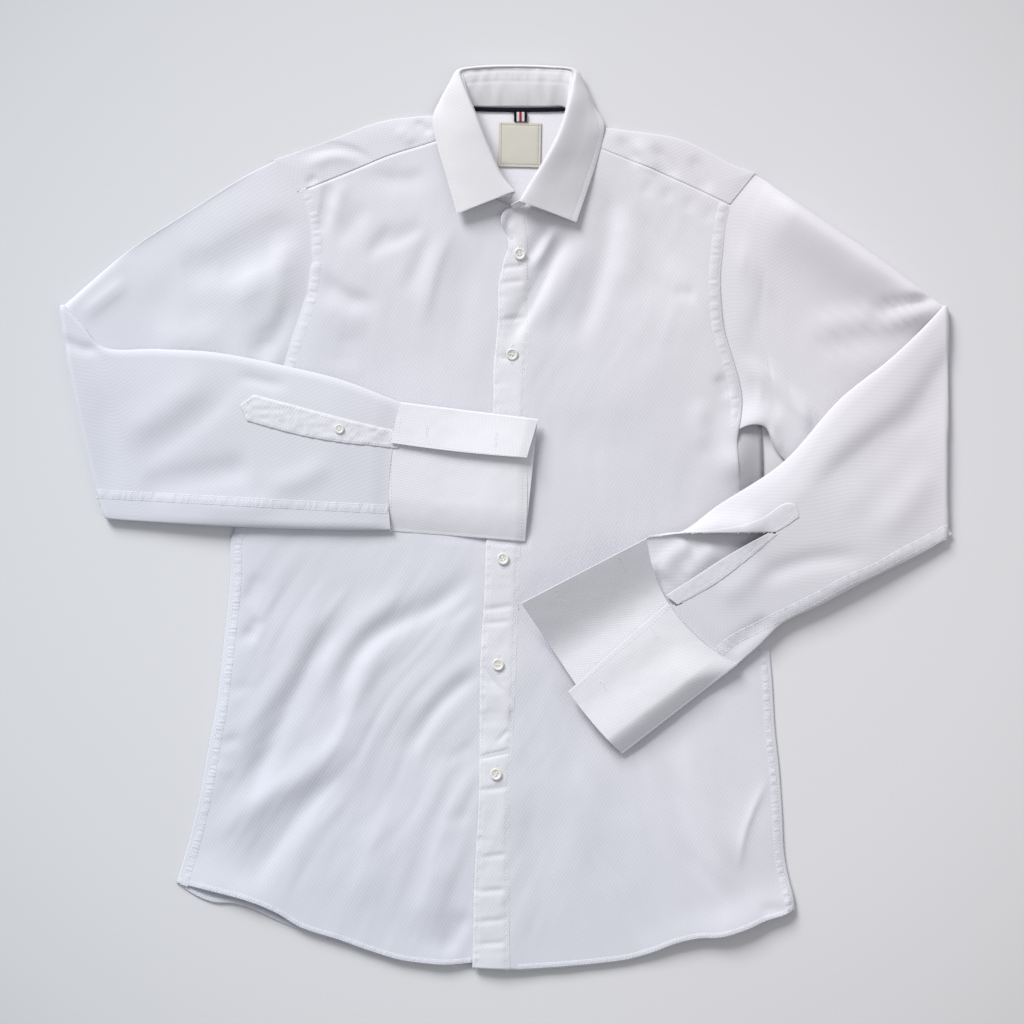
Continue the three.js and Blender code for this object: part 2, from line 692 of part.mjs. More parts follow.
// ---- collar ----
// Stations run round the neck from the right front to the left front. fold is the crease, middle a point
// half way across the leaf and edge its outer edge; top and seam are the stand's two edges.
const COLLAR = [
  { fold: [8, 291, 14], middle: [-17, 281, 10], edge: [-42, 271, 4.6], top: [9, 289, 12], seam: [4, 282, 5] },
  { fold: [-1, 305, 17], middle: [-27, 302, 13], edge: [-54, 307, 4.6], top: [1, 304, 15], seam: [-19, 297, 3.6] },
  { fold: [-14, 332, 21], middle: [-39, 332, 16], edge: [-63, 339, 5], top: [-12, 331, 19], seam: [-37, 321, 3.4] },
  { fold: [-24, 355, 23], middle: [-46, 353, 17], edge: [-65, 359, 5], top: [-22, 354, 21], seam: [-42, 340, 3.4] },
  { fold: [-33, 378, 18], middle: [-54, 381, 10], edge: [-50, 368, 2], top: [-31, 377, 16], seam: [-40, 355, 3.2] },
  { fold: [-39, 394, 12], middle: [-48, 396, 7], edge: [-38, 372, 0.5], top: [-36, 393, 10.5], seam: [-34, 364, 2.6] },
  { fold: [-41, 401, 8], middle: [-42, 405, 4], edge: [-30, 374, 0.5], top: [-38, 399.5, 7], seam: [-28, 369, 1.8] },
  { fold: [-20, 403, 6], middle: [-20, 406.3, 3], edge: [-18, 374, 0.5], top: [-19, 401, 4.6], seam: [-18, 369, 1.8] },
  { fold: [11, 403, 5.5], middle: [11, 406.3, 3], edge: [11, 374, 0.5], top: [11, 401, 4.2], seam: [11, 369, 1.8] },
  { fold: [42, 403, 6], middle: [42, 406.3, 3], edge: [42, 374, 0.5], top: [41, 401, 4.6], seam: [38, 369, 1.8] },
  { fold: [65, 400, 8.5], middle: [67, 404, 4.5], edge: [56, 374, 0.5], top: [62, 398.5, 7.2], seam: [52, 369, 1.8] },
  { fold: [62, 387, 14], middle: [74, 389, 8], edge: [66, 370, 0.6], top: [59, 386, 12.5], seam: [60, 363, 2.6] },
  { fold: [58, 371, 19], middle: [75, 373, 12], edge: [80, 366, 2.4], top: [56, 370, 17], seam: [67, 355, 3.4] },
  { fold: [55, 353, 22], middle: [75, 352, 16], edge: [91, 357, 4.6], top: [53, 353, 20], seam: [71, 342, 3.6] },
  { fold: [49, 334, 22], middle: [71, 332, 17], edge: [90, 342, 5], top: [47, 334, 20], seam: [68, 326, 3.6] },
  { fold: [39, 316, 20], middle: [62, 313, 15], edge: [84, 318, 5], top: [37, 316, 18], seam: [60, 307, 3.8] },
  { fold: [25, 296, 17], middle: [50, 291, 12], edge: [75, 293, 5.4], top: [23, 296, 15], seam: [45, 290, 5] },
  { fold: [14, 282, 14], middle: [40, 273, 10], edge: [65, 264, 5.6], top: [13, 283, 11.8], seam: [22, 277, 6.4] },
];
// The left end of the stand goes on past the leaf, over the right end, to the placket's free edge.
const STAND_END = { top: [-1, 275, 10], seam: [2, 270.5, 6.6] };
const LEAF_STEPS = 7;

function makeLeaf() {
  const lowest = CLOTH / 2;
  const sections = COLLAR.map(({ fold, middle, edge }) => {
    const across = smooth([fold, middle, edge]);
    return Array.from({ length: LEAF_STEPS + 1 }, (_, i) => {
      const p = across(i / LEAF_STEPS);
      return p.setZ(Math.max(p.z, lowest));
    });
  });
  return bentWall(sections);
}

function makeStand() {
  const steps = 3;
  return bentWall(
    [...COLLAR, STAND_END].map(({ top, seam }) =>
      Array.from({ length: steps + 1 }, (_, i) => mix(point(...seam), point(...top), i / steps)),
    ),
  );
}

// ---- what is sewn inside the neck ----
const TAPE = { x0: -26.5, x1: 50, y0: 363.8, y1: 368.2 };
const LABEL = { x0: -5, x1: 34, y0: 314, y1: 355 };
const LOOP = { x0: 9, x1: 20.5, y0: 355.6, y1: 363.4 };

const oblong = ({ x0, x1, y0, y1 }) => [
  [x0, y0],
  [x1, y0],
  [x1, y1],
  [x0, y1],
];

// A short ribbon folded on itself, with its fold towards the label.
function makeLoop() {
  const lower = LAYER + CLOTH / 2;
  const turn = LAYER / 2;
  const inner = LOOP.y0 + turn + CLOTH / 2;
  const section = (x) => [
    point(x, LOOP.y1, lower),
    ...Array.from({ length: ARC_STEPS + 1 }, (_, i) => {
      const angle = (Math.PI * i) / ARC_STEPS;
      return point(x, inner - turn * Math.sin(angle), lower + turn - turn * Math.cos(angle));
    }),
    point(x, LOOP.y1, lower + LAYER),
  ];
  return bentWall([section(LOOP.x0), section(LOOP.x1)]);
}

// ---- buttons ----
// A round button with a raised rim and a shallow dish, standing on z = 0.
function buttonGeometry({ radius, rim, dish, height }) {
  const chamfer = 0.35;
  const profile = [
    [0, 0],
    [radius - 2 * chamfer, 0],
    [radius, 2 * chamfer],
    [radius, height - chamfer],
    [radius - chamfer, height],
    [radius - rim, height],
    [radius - 2 * rim, height - dish],
    [0, height - dish],
  ];
  const segments = 16;
  const geometry = new THREE.LatheGeometry(
    profile.map(([r, h]) => new THREE.Vector2(r, h)),
    segments,
  );
  return geometry.rotateX(Math.PI / 2);
}

const PLACKET_TOP = 3 * LAYER + CLOTH; // back, right front, left front, then the placket
const FRONT_BUTTONS = [
  [14, 236],
  [7, 146],
  [3, 55],
  [-1, -37],
  [-5, -132],
  [-7, -230],
];
const SLEEVE_BUTTON_PLACE = [-147, 79];

// ---- the shirt ----
const shirt = new THREE.Group();

function add(name, geometry, material, place = [0, 0, 0]) {
  const mesh = new THREE.Mesh(geometry, material);
  mesh.name = name;
  mesh.position.set(...place);
  shirt.add(mesh);
}

add("back", makeBack(), COTTON);
add("yoke", makeYoke(), COTTON);
add("front_right", makeFrontRight(), COTTON);
add("front_left", panel(FRONT_LEFT_CELLS), COTTON);
add("placket", panel(PLACKET_CELLS), COTTON);
add("sleeve_right", makeSleeve(SLEEVE_RIGHT), COTTON);
add("sleeve_left", makeSleeveLeft(), COTTON);
add("sleeve_placket_right", plate(SLEEVE_PLACKET_RIGHT, FOREARM_TOP + GAP), COTTON);
add("sleeve_placket_left", plate(SLEEVE_PLACKET_LEFT, FOREARM_TOP + GAP), COTTON);
add("under_placket_left", plate(UNDER_PLACKET_LEFT, FOREARM_TOP + GAP), COTTON);
add("cuff_right", makeCuffRight(), COTTON);
add("cuff_left", makeCuffLeft(), COTTON);
add("collar_stand", makeStand(), COTTON);
add("collar_leaf", makeLeaf(), COTTON);
add("neck_tape", plate(oblong(TAPE), LAYER), RIBBON);
add("hanger_loop", makeLoop(), RIBBON);
add("label", plate(oblong(LABEL), LAYER), LABEL_CLOTH);
FRONT_BUTTONS.forEach(([x, y], i) => {
  add(`button_${i + 1}`, buttonGeometry(BUTTON), BUTTON_PLASTIC, [x, y, PLACKET_TOP + GAP]);
});
add("button_sleeve_right", buttonGeometry(SLEEVE_BUTTON), BUTTON_PLASTIC, [
  ...SLEEVE_BUTTON_PLACE,
  FOREARM_TOP + LAYER + GAP,
]);

export default shirt;
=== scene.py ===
"""The looks of a white dress shirt that lies flat on its back, built around its CAD frame.

Tables are in millimetres: x to the wearer's left, y to the collar, z up from the surface it lies on.
Meshes are in metres. Every piece is a grid of points worked out with numpy: a panel is spanned between
its seam lines, a sleeve or collar is a row of sections, and creases are added as soft ridges and troughs.
"""

from __future__ import annotations

import logging
import math
from dataclasses import dataclass
from enum import Enum

import bpy
import numpy as np
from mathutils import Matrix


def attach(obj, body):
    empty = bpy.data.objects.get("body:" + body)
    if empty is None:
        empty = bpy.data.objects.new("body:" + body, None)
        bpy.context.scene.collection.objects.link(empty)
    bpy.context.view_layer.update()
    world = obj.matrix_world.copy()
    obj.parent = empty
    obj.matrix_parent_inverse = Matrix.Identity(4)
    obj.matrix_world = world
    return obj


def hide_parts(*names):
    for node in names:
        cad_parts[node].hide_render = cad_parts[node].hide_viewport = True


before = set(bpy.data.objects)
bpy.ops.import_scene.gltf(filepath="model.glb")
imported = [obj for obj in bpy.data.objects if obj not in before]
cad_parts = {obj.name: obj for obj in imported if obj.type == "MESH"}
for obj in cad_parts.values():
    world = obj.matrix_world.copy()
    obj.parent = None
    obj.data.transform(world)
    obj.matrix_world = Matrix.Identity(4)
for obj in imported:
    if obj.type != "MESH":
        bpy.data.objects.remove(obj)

Array = np.ndarray
Points = tuple[tuple[float, ...], ...]

MM = 0.001
BODY = "root"
CAMERA_HEIGHT = 2.5
LOG = logging.getLogger("shirt")


# Curves and grids


def smooth_path(points: Points | Array, count: int) -> Array:
    """Even points along a smooth curve through the given ones.

    Each span is a cubic Hermite curve whose end slopes are the chord-weighted means of its neighbours'.

    Args:
        points: the points that the curve passes through.
        count: how many points to return.

    Returns:
        The points, one a row.
    """
    p = np.asarray(points, float)
    step = np.maximum(np.linalg.norm(np.diff(p, axis=0), axis=1), 1e-6) ** 0.5
    slope = np.diff(p, axis=0) / step[:, None]
    tangent = np.empty_like(p)
    tangent[0] = slope[0]
    tangent[-1] = slope[-1]
    weight = step[:, None]
    tangent[1:-1] = (slope[:-1] * weight[1:] + slope[1:] * weight[:-1]) / (weight[1:] + weight[:-1])
    t = np.linspace(0, 1, 24, endpoint=False)[None, :, None]
    a, b = p[:-1, None], p[1:, None]
    ta, tb = tangent[:-1, None] * step[:, None, None], tangent[1:, None] * step[:, None, None]
    dense = (2 * t**3 - 3 * t**2 + 1) * a + (t**3 - 2 * t**2 + t) * ta
    dense = dense + (3 * t**2 - 2 * t**3) * b + (t**3 - t**2) * tb
    return resample(np.vstack([dense.reshape(-1, p.shape[1]), p[-1:]]), count)


def resample(path: Array, count: int) -> Array:
    """Points evenly spaced by arc length along a polyline."""
    run = np.concatenate([[0], np.cumsum(np.linalg.norm(np.diff(path, axis=0), axis=1))])
    at = np.linspace(0, run[-1], count)
    return np.stack([np.interp(at, run, column) for column in path.T], axis=1)


def split_path(first: Array | Points, second: Array | Points, share: float, count: int) -> Array:
    """Two smooth curves end to end, with a corner between; the first takes the given share of the points."""
    head = max(2, round(share * (count - 1)) + 1)
    tail = smooth_path(second, count - head + 1)
    return np.vstack([smooth_path(first, head), tail[1:]])


def coons(bottom: Array, top: Array, left: Array, right: Array) -> Array:
    """The surface between four edge curves: two ruled surfaces less the bilinear one of the corners."""
    u = np.linspace(0, 1, len(bottom))[None, :, None]
    v = np.linspace(0, 1, len(left))[:, None, None]
    ruled = (1 - v) * bottom[None] + v * top[None] + (1 - u) * left[:, None] + u * right[:, None]
    low = (1 - u) * bottom[0] + u * bottom[-1]
    high = (1 - u) * top[0] + u * top[-1]
    return ruled - (1 - v) * low - v * high


def rolled_edge(points: Array, at_start: bool, floor: float = 0.3, radius: float = 1.3) -> Array:
    """Adds columns to a grid that turn one of its side edges down towards the floor in a quarter circle."""
    cells = points if at_start else points[:, ::-1]
    edge = cells[:, 0]
    out = edge[:, :2] - cells[:, 2, :2]
    out /= np.maximum(np.linalg.norm(out, axis=1, keepdims=True), 1e-6)
    depth = np.clip(edge[:, 2] - floor, 0.1, 6.0)
    reach = np.minimum(depth, radius)
    added = []
    for angle in np.radians([90, 68, 45, 22]):
        plan = edge[:, :2] + out * (reach * np.sin(angle))[:, None]
        added.append(np.column_stack([plan, edge[:, 2] - depth * (1 - np.cos(angle))]))
    cells = np.concatenate([np.stack(added, axis=1), cells], axis=1)
    return cells if at_start else cells[:, ::-1]


def smoothstep(x: Array, low: float, high: float) -> Array:
    """0 below low, 1 above high, and a smooth rise between."""
    t = np.clip((x - low) / (high - low), 0, 1)
    return t * t * (3 - 2 * t)


def wobble(x: Array, y: Array, pitch: float, seed: int) -> Array:
    """Smooth random values from -1 to 1 on a lattice of the given pitch, with quintic blending between."""
    table = np.random.default_rng(seed).uniform(-1, 1, (64, 64))
    gx, gy = np.asarray(x, float) / pitch, np.asarray(y, float) / pitch
    i, j = np.floor(gx).astype(int), np.floor(gy).astype(int)
    fx, fy = gx - i, gy - j
    fx, fy = (f**3 * (f * (6 * f - 15) + 10) for f in (fx, fy))
    i, j = i % 64, j % 64
    k, m = (i + 1) % 64, (j + 1) % 64
    low = table[i, j] * (1 - fx) + table[k, j] * fx
    high = table[i, m] * (1 - fx) + table[k, m] * fx
    return low * (1 - fy) + high * fy


def to_path(path: Array, x: Array, y: Array) -> tuple[Array, Array, Array]:
    """How places lie to a polyline.

    Args:
        path: the polyline.
        x: the places' first coordinates.
        y: the places' second coordinates.

    Returns:
        The distance to the line, the run along it to the nearest point, and the side: 1 on its left.
    """
    run = np.concatenate([[0], np.cumsum(np.linalg.norm(np.diff(path[:, :2], axis=0), axis=1))])
    nearest = np.full(x.shape, np.inf)
    along = np.zeros(x.shape)
    side = np.ones(x.shape)
    for k in range(len(path) - 1):
        ax, ay = path[k, :2]
        dx, dy = path[k + 1, :2] - path[k, :2]
        length = max(math.hypot(dx, dy), 1e-9)
        t = np.clip(((x - ax) * dx + (y - ay) * dy) / length**2, 0, 1)
        away = np.hypot(x - ax - t * dx, y - ay - t * dy)
        closer = away < nearest
        nearest = np.where(closer, away, nearest)
        along = np.where(closer, run[k] + t * length, along)
        side = np.where(closer, np.sign(dx * (y - ay) - dy * (x - ax)), side)
    return nearest, along, side


def inside(outline: Points, x: Array, y: Array) -> Array:
    """Whether places lie inside a closed outline, by counting the edges that each has to its right."""
    found = np.zeros(x.shape, bool)
    for (ax, ay), (bx, by) in zip(outline, outline[1:] + outline[:1]):
        if ay != by:
            crosses = (ay > y) != (by > y)
            found ^= crosses & (x < ax + (y - ay) * (bx - ax) / (by - ay))
    return found


def offset_path(path: Array, distance: float | Array) -> Array:
    """A polyline moved sideways, to its left where the distance is positive."""
    tangent = np.gradient(path[:, :2], axis=0)
    tangent /= np.linalg.norm(tangent, axis=1, keepdims=True)
    normal = np.stack([-tangent[:, 1], tangent[:, 0]], axis=1)
    return path[:, :2] + distance * normal


# Creases


class Profile(Enum):
    """How a crease is shaped across: a round swell, or a peak with straight flanks."""

    SOFT = "soft"
    SHARP = "sharp"


@dataclass(frozen=True)
class Crease:
    """One fold in the cloth, along a short path.

    Its height across is height times exp(-q^2) for a soft crease and exp(-2.2 |q|) for a sharp one, where q
    is the distance over the width. lean makes the left flank narrower where it is positive and the right
    flank where it is negative. The ends fade over the share fade of its length.
    """

    path: Points
    width: float
    height: float
    lean: float = 0.0
    profile: Profile = Profile.SOFT
    fade: float = 0.35

    def relief(self, x: Array, y: Array) -> Array:
        """The crease's height at the given places."""
        path = smooth_path(self.path, 12) if len(self.path) > 2 else np.asarray(self.path, float)
        reach = 3 * self.width
        low, high = path.min(0) - reach, path.max(0) + reach
        near = (x > low[0]) & (x < high[0]) & (y > low[1]) & (y < high[1])
        out = np.zeros(x.shape)
        if not near.any():
            return out
        away, along, side = to_path(path, x[near], y[near])
        length = np.linalg.norm(np.diff(path, axis=0), axis=1).sum()
        q = away / (self.width * (1 - self.lean * side))
        shape = np.exp(-(q**2)) if self.profile is Profile.SOFT else np.exp(-2.2 * q)
        share = along / length
        ends = smoothstep(share, -0.02, self.fade) * smoothstep(1 - share, -0.02, self.fade)
        out[near] = self.height * shape * ends
        return out


def relief(creases: tuple[Crease, ...], x: Array, y: Array) -> Array:
    """The sum of all the creases' heights."""
    total = np.zeros(x.shape)
    for crease in creases:
        total += crease.relief(x, y)
    return total


def undulation(x: Array, y: Array, seed: int) -> Array:
    """The slight unevenness of pressed cotton that has been worn: four sizes of swell."""
    broad = 3.2 * wobble(x, y, 150, seed + 3) + 1.2 * wobble(x, y, 78, seed)
    return broad + 0.42 * wobble(x, y, 36, seed + 1) + 0.05 * wobble(x, y, 12, seed + 2)


# Meshes


def quads_of(rows: int, columns: int, around: bool = False) -> Array:
    """The corner numbers of a grid's faces, wrapping round its columns where around is set."""
    last = columns if around else columns - 1
    i, j = np.meshgrid(np.arange(rows - 1), np.arange(last), indexing="ij")
    k = (j + 1) % columns
    corners = [i * columns + j, i * columns + k, (i + 1) * columns + k, (i + 1) * columns + j]
    return np.stack([c.ravel() for c in corners], axis=1)


def mesh_object(name: str, points: Array, faces: Array, uv: Array | None = None) -> bpy.types.Object:
    """A mesh object from points in millimetres and faces of four corners.

    Args:
        name: the piece's name.
        points: one point a row.
        faces: four corner numbers a row.
        uv: the texture place of each point, in metres.

    Returns:
        The object, linked to the scene, with smooth faces.
    """
    mesh = bpy.data.meshes.new(name)
    mesh.vertices.add(len(points))
    mesh.vertices.foreach_set("co", (points * MM).astype(np.float32).ravel())
    mesh.loops.add(faces.size)
    mesh.loops.foreach_set("vertex_index", faces.astype(np.int32).ravel())
    mesh.polygons.add(len(faces))
    mesh.polygons.foreach_set("loop_start", np.arange(0, faces.size, 4, dtype=np.int32))
    mesh.polygons.foreach_set("loop_total", np.full(len(faces), 4, np.int32))
    mesh.polygons.foreach_set("use_smooth", np.ones(len(faces), bool))
    if uv is not None:
        layer = mesh.uv_layers.new(name="cloth")
        layer.data.foreach_set("uv", uv[faces.ravel()].astype(np.float32).ravel())
    mesh.update(calc_edges=True)
    made = bpy.data.objects.new(name, mesh)
    bpy.context.scene.collection.objects.link(made)
    return made


def thicken(piece: bpy.types.Object, thickness: float, offset: float = -1.0) -> bpy.types.Object:
    """Gives a sheet its thickness in millimetres: offset -1 grows it behind its faces and 1 before them."""
    wall = piece.modifiers.new("thickness", "SOLIDIFY")
    wall.thickness = thickness * MM
    wall.offset = offset
    wall.use_even_offset = False
    return piece


def rounded(piece: bpy.types.Object, width: float) -> bpy.types.Object:
    """Rounds the edges of a thickened sheet by the given width in millimetres."""
    soft = piece.modifiers.new("rounding", "BEVEL")
    soft.width = width * MM
    soft.segments = 2
    soft.angle_limit = math.radians(50)
    return piece


class Sheet:
    """A grid of points with its texture places, which other pieces can be laid on."""

    def __init__(self, points: Array, uv: Array | None = None, around: bool = False) -> None:
        """Keeps the grid.

        Args:
            points: rows by columns by 3, in millimetres.
            uv: rows by columns by 2, in millimetres; the plan place where it is left out.
            around: whether the columns close into a loop.
        """
        self.points = points
        self.uv = points[..., :2] if uv is None else uv
        self.around = around

    def normals(self) -> Array:
        """The unit normals, from the cross product of the differences along rows and columns."""
        down = np.gradient(self.points, axis=0)
        if self.around:
            across = np.roll(self.points, -1, axis=1) - np.roll(self.points, 1, axis=1)
        else:
            across = np.gradient(self.points, axis=1)
        normal = np.cross(across, down)
        return normal / np.maximum(np.linalg.norm(normal, axis=2, keepdims=True), 1e-9)

    def drape(self, places: Array) -> tuple[Array, Array]:
        """Lays plan places on the upper side of the sheet.

        Each place takes the plane of the nearest grid point that faces up.

        Args:
            places: one x, y a row.

        Returns:
            The points on the sheet and the unit normals there.
        """
        normals = self.normals().reshape(-1, 3)
        points = self.points.reshape(-1, 3)
        if normals[:, 2].mean() < 0:
            normals = -normals
        up = normals[:, 2] > 0.15
        points, normals = points[up], normals[up]
        nearest = np.empty(len(places), int)
        for start in range(0, len(places), 64):
            block = places[start : start + 64]
            low, high = block.min(0) - 9, block.max(0) + 9
            inside = (points[:, :2] > low).all(1) & (points[:, :2] < high).all(1)
            near = np.flatnonzero(inside) if inside.any() else np.arange(len(points))
            gap = ((points[near][None, :, :2] - block[:, None]) ** 2).sum(2)
            nearest[start : start + 64] = near[gap.argmin(1)]
        base, normal = points[nearest], normals[nearest]
        step = places - base[:, :2]
        z = base[:, 2] - (step * normal[:, :2]).sum(1) / normal[:, 2]
        return np.column_stack([places, z]), normal

    def area(self) -> float:
        """The sheet's area in square millimetres, as the sum of its cells' cross products."""
        corner = self.points[:-1, :-1]
        down, across = self.points[1:, :-1] - corner, self.points[:-1, 1:] - corner
        return float(np.linalg.norm(np.cross(down, across), axis=2).sum())

    def build(self, name: str) -> bpy.types.Object:
        """Makes the sheet's mesh object."""
        rows, columns = self.points.shape[:2]
        faces = quads_of(rows, columns, self.around)
        return mesh_object(name, self.points.reshape(-1, 3), faces, self.uv.reshape(-1, 2) * MM)


# Finishes


def new_material(name: str) -> tuple[bpy.types.Material, bpy.types.Node]:
    """An empty node material and its shader node."""
    material = bpy.data.materials.new(name)
    material.use_nodes = True
    return material, material.node_tree.nodes["Principled BSDF"]


class Wiring:
    """Short ways to add nodes to one material."""

    def __init__(self, material: bpy.types.Material) -> None:
        """Keeps the node tree."""
        self.tree = material.node_tree

    def node(self, kind: str, **settings: object) -> bpy.types.Node:
        """Adds a node and sets its properties."""
        made = self.tree.nodes.new(kind)
        for key, value in settings.items():
            setattr(made, key, value)
        return made

    def link(self, source: bpy.types.NodeSocket, target: bpy.types.NodeSocket) -> None:
        """Joins two sockets."""
        self.tree.links.new(source, target)

    def math(self, operation: str, *values: object) -> bpy.types.NodeSocket:
        """Adds a maths node whose inputs are numbers or sockets."""
        made = self.node("ShaderNodeMath", operation=operation)
        for slot, value in zip(made.inputs, values):
            if isinstance(value, bpy.types.NodeSocket):
                self.link(value, slot)
            else:
                slot.default_value = value
        return made.outputs[0]

    def noise(self, vector: bpy.types.NodeSocket, scale: float, detail: float = 2.0) -> bpy.types.NodeSocket:
        """Adds a noise texture and gives its value."""
        made = self.node("ShaderNodeTexNoise")
        made.inputs["Scale"].default_value = scale
        made.inputs["Detail"].default_value = detail
        self.link(vector, made.inputs["Vector"])
        return made.outputs["Fac"]

    def mixed(self, share: bpy.types.NodeSocket, a: tuple, b: tuple) -> bpy.types.NodeSocket:
        """Mixes two colours by a share."""
        made = self.node("ShaderNodeMix", data_type="RGBA")
        self.link(share, made.inputs["Factor"])
        made.inputs["A"].default_value = (*a, 1)
        made.inputs["B"].default_value = (*b, 1)
        return made.outputs["Result"]

    def bump(self, height: bpy.types.NodeSocket, distance: float, strength: float) -> bpy.types.NodeSocket:
        """Adds a bump node and gives its normal."""
        made = self.node("ShaderNodeBump")
        made.inputs["Distance"].default_value = distance
        made.inputs["Strength"].default_value = strength
        self.link(height, made.inputs["Height"])
        return made.outputs["Normal"]


@dataclass(frozen=True)
class Twill:
    """Fine cotton twill: ribs that slant across the grain, crossed by faint threads. Its colour holds painted
    light: a cool tint for the window light at the left, and painted shade towards the hem.
    """

    name: str
    cool: tuple[float, float, float] = (0.625, 0.645, 0.708)
    warm: tuple[float, float, float] = (0.67, 0.65, 0.68)
    rib_pitch: float = 2.25
    rib_angle: float = 57.0
    rib_height: float = 0.1
    strength: float = 0.2
    roughness: float = 0.82
    tone: float = 0.05
    threads: float = 0.9

    def material(self) -> bpy.types.Material:
        """Builds the cloth: rib height is sin(2 pi s / pitch) times a thread pattern along each rib."""
        material, shader = new_material(self.name)
        w = Wiring(material)
        uv = w.node("ShaderNodeUVMap", uv_map="cloth")
        split = w.node("ShaderNodeSeparateXYZ")
        w.link(uv.outputs["UV"], split.inputs[0])
        angle = math.radians(self.rib_angle)
        turn = 2 * math.pi / (self.rib_pitch * MM)
        drift = w.math("MULTIPLY", w.noise(uv.outputs["UV"], 60), 1.6)
        ribs = self._wave(w, split, math.cos(angle) * turn, math.sin(angle) * turn, drift)
        threads = self._wave(w, split, -math.sin(angle) * turn * 0.8, math.cos(angle) * turn * 0.8, drift)
        weave = w.math("MULTIPLY_ADD", threads, self.threads, ribs)
        fuzz = w.math("MULTIPLY", w.noise(uv.outputs["UV"], 1400, 3), 1.2)
        height = w.math("ADD", weave, fuzz)
        place = w.node("ShaderNodeSeparateXYZ")
        w.link(w.node("ShaderNodeTexCoord").outputs["Object"], place.inputs[0])
        # painted light colour: the tint runs cool towards the lower left and warm towards the upper right,
        # for the bluish window light at the left
        upwards = w.math("MULTIPLY_ADD", place.outputs[1], 0.9, 0.5)
        lean = w.math("MULTIPLY_ADD", place.outputs[0], 1.3, upwards)
        tint = w.mixed(lean, self.cool, self.warm)
        tone_and_painted_falloff = w.math("MULTIPLY_ADD", w.noise(uv.outputs["UV"], 14), self.tone, 1 - self.tone / 2)
        # painted shade: the cloth darkens slowly towards the hem, as the light falls off; the noise before it
        # is random tone
        tone_and_painted_falloff = w.math("MULTIPLY_ADD", place.outputs[1], 0.05, tone_and_painted_falloff)
        shade = w.math("MULTIPLY_ADD", weave, self.tone * 0.35, tone_and_painted_falloff)
        scaled = w.node("ShaderNodeVectorMath", operation="SCALE")
        w.link(tint, scaled.inputs[0])
        w.link(shade, scaled.inputs["Scale"])
        w.link(scaled.outputs[0], shader.inputs["Base Color"])
        normal = w.bump(height, self.rib_height * MM, self.strength)
        w.link(normal, shader.inputs["Normal"])
        shader.inputs["Roughness"].default_value = self.roughness
        shader.inputs["Specular IOR Level"].default_value = 0.25
        shader.inputs["Sheen Weight"].default_value = 0.12
        shader.inputs["Sheen Roughness"].default_value = 0.45
        return material

    @staticmethod
    def _wave(
        w: Wiring, split: bpy.types.Node, along_u: float, along_v: float, drift: bpy.types.NodeSocket
    ) -> bpy.types.NodeSocket:
        """A sine wave over the cloth's own plane."""
        phase = w.math("MULTIPLY", split.outputs[0], along_u)
        phase = w.math("MULTIPLY_ADD", split.outputs[1], along_v, phase)
        return w.math("SINE", w.math("ADD", phase, drift))


@dataclass(frozen=True)
class Plain:
    """A finish with one colour that varies slightly and a fine grain: thread, label, plastic or floor."""

    name: str
    light: tuple[float, float, float]
    deep: tuple[float, float, float]
    scale: float = 300.0
    roughness: float = 0.6
    grain: float = 0.02
    coat: float = 0.0
    subsurface: float = 0.0

    def material(self) -> bpy.types.Material:
        """Builds the finish on object coordinates."""
        material, shader = new_material(self.name)
        w = Wiring(material)
        place = w.node("ShaderNodeTexCoord").outputs["Object"]
        value = w.noise(place, self.scale, 3)
        w.link(w.mixed(value, self.deep, self.light), shader.inputs["Base Color"])
        w.link(w.bump(value, self.grain * MM, 0.4), shader.inputs["Normal"])
        shader.inputs["Roughness"].default_value = self.roughness
        shader.inputs["Coat Weight"].default_value = self.coat
        shader.inputs["Coat Roughness"].default_value = 0.12
        shader.inputs["Subsurface Weight"].default_value = self.subsurface
        shader.inputs["Subsurface Scale"].default_value = 0.002
        return material


@dataclass(frozen=True)
class Backdrop:
    """Pale card under the shirt, with a faint grain; painted shade darkens it slowly away from its middle,
    and a painted cool tint at the left stands for the window light.
    """

    name: str
    cool: tuple[float, float, float] = (0.673, 0.69, 0.71)
    warm: tuple[float, float, float] = (0.695, 0.68, 0.69)
    painted_falloff: float = 0.62

    def material(self) -> bpy.types.Material:
        """Builds the card: cool at the left, warm at the right, times 1 - falloff r^3 with r in metres; the
        tint is painted window light and the falloff is painted shade.
        """
        material, shader = new_material(self.name)
        w = Wiring(material)
        place = w.node("ShaderNodeTexCoord").outputs["Object"]
        length = w.node("ShaderNodeVectorMath", operation="LENGTH")
        w.link(place, length.inputs[0])
        near = w.math("MINIMUM", length.outputs["Value"], 0.9)
        cube = w.math("POWER", near, 3.0)
        # painted shade: the card darkens away from its middle, as the light falls off
        level = w.math("MULTIPLY_ADD", cube, -self.painted_falloff, 1.0)
        level = w.math("MULTIPLY_ADD", w.noise(place, 220, 4), 0.02, level)
        scaled = w.node("ShaderNodeVectorMath", operation="SCALE")
        across = w.node("ShaderNodeSeparateXYZ")
        w.link(place, across.inputs[0])
        w.link(w.mixed(w.math("ADD", across.outputs[0], 0.5), self.cool, self.warm), scaled.inputs[0])
        w.link(level, scaled.inputs["Scale"])
        w.link(scaled.outputs[0], shader.inputs["Base Color"])
        w.link(w.bump(w.noise(place, 700, 3), 0.05 * MM, 0.3), shader.inputs["Normal"])
        shader.inputs["Roughness"].default_value = 0.9
        shader.inputs["Specular IOR Level"].default_value = 0.2
        return material


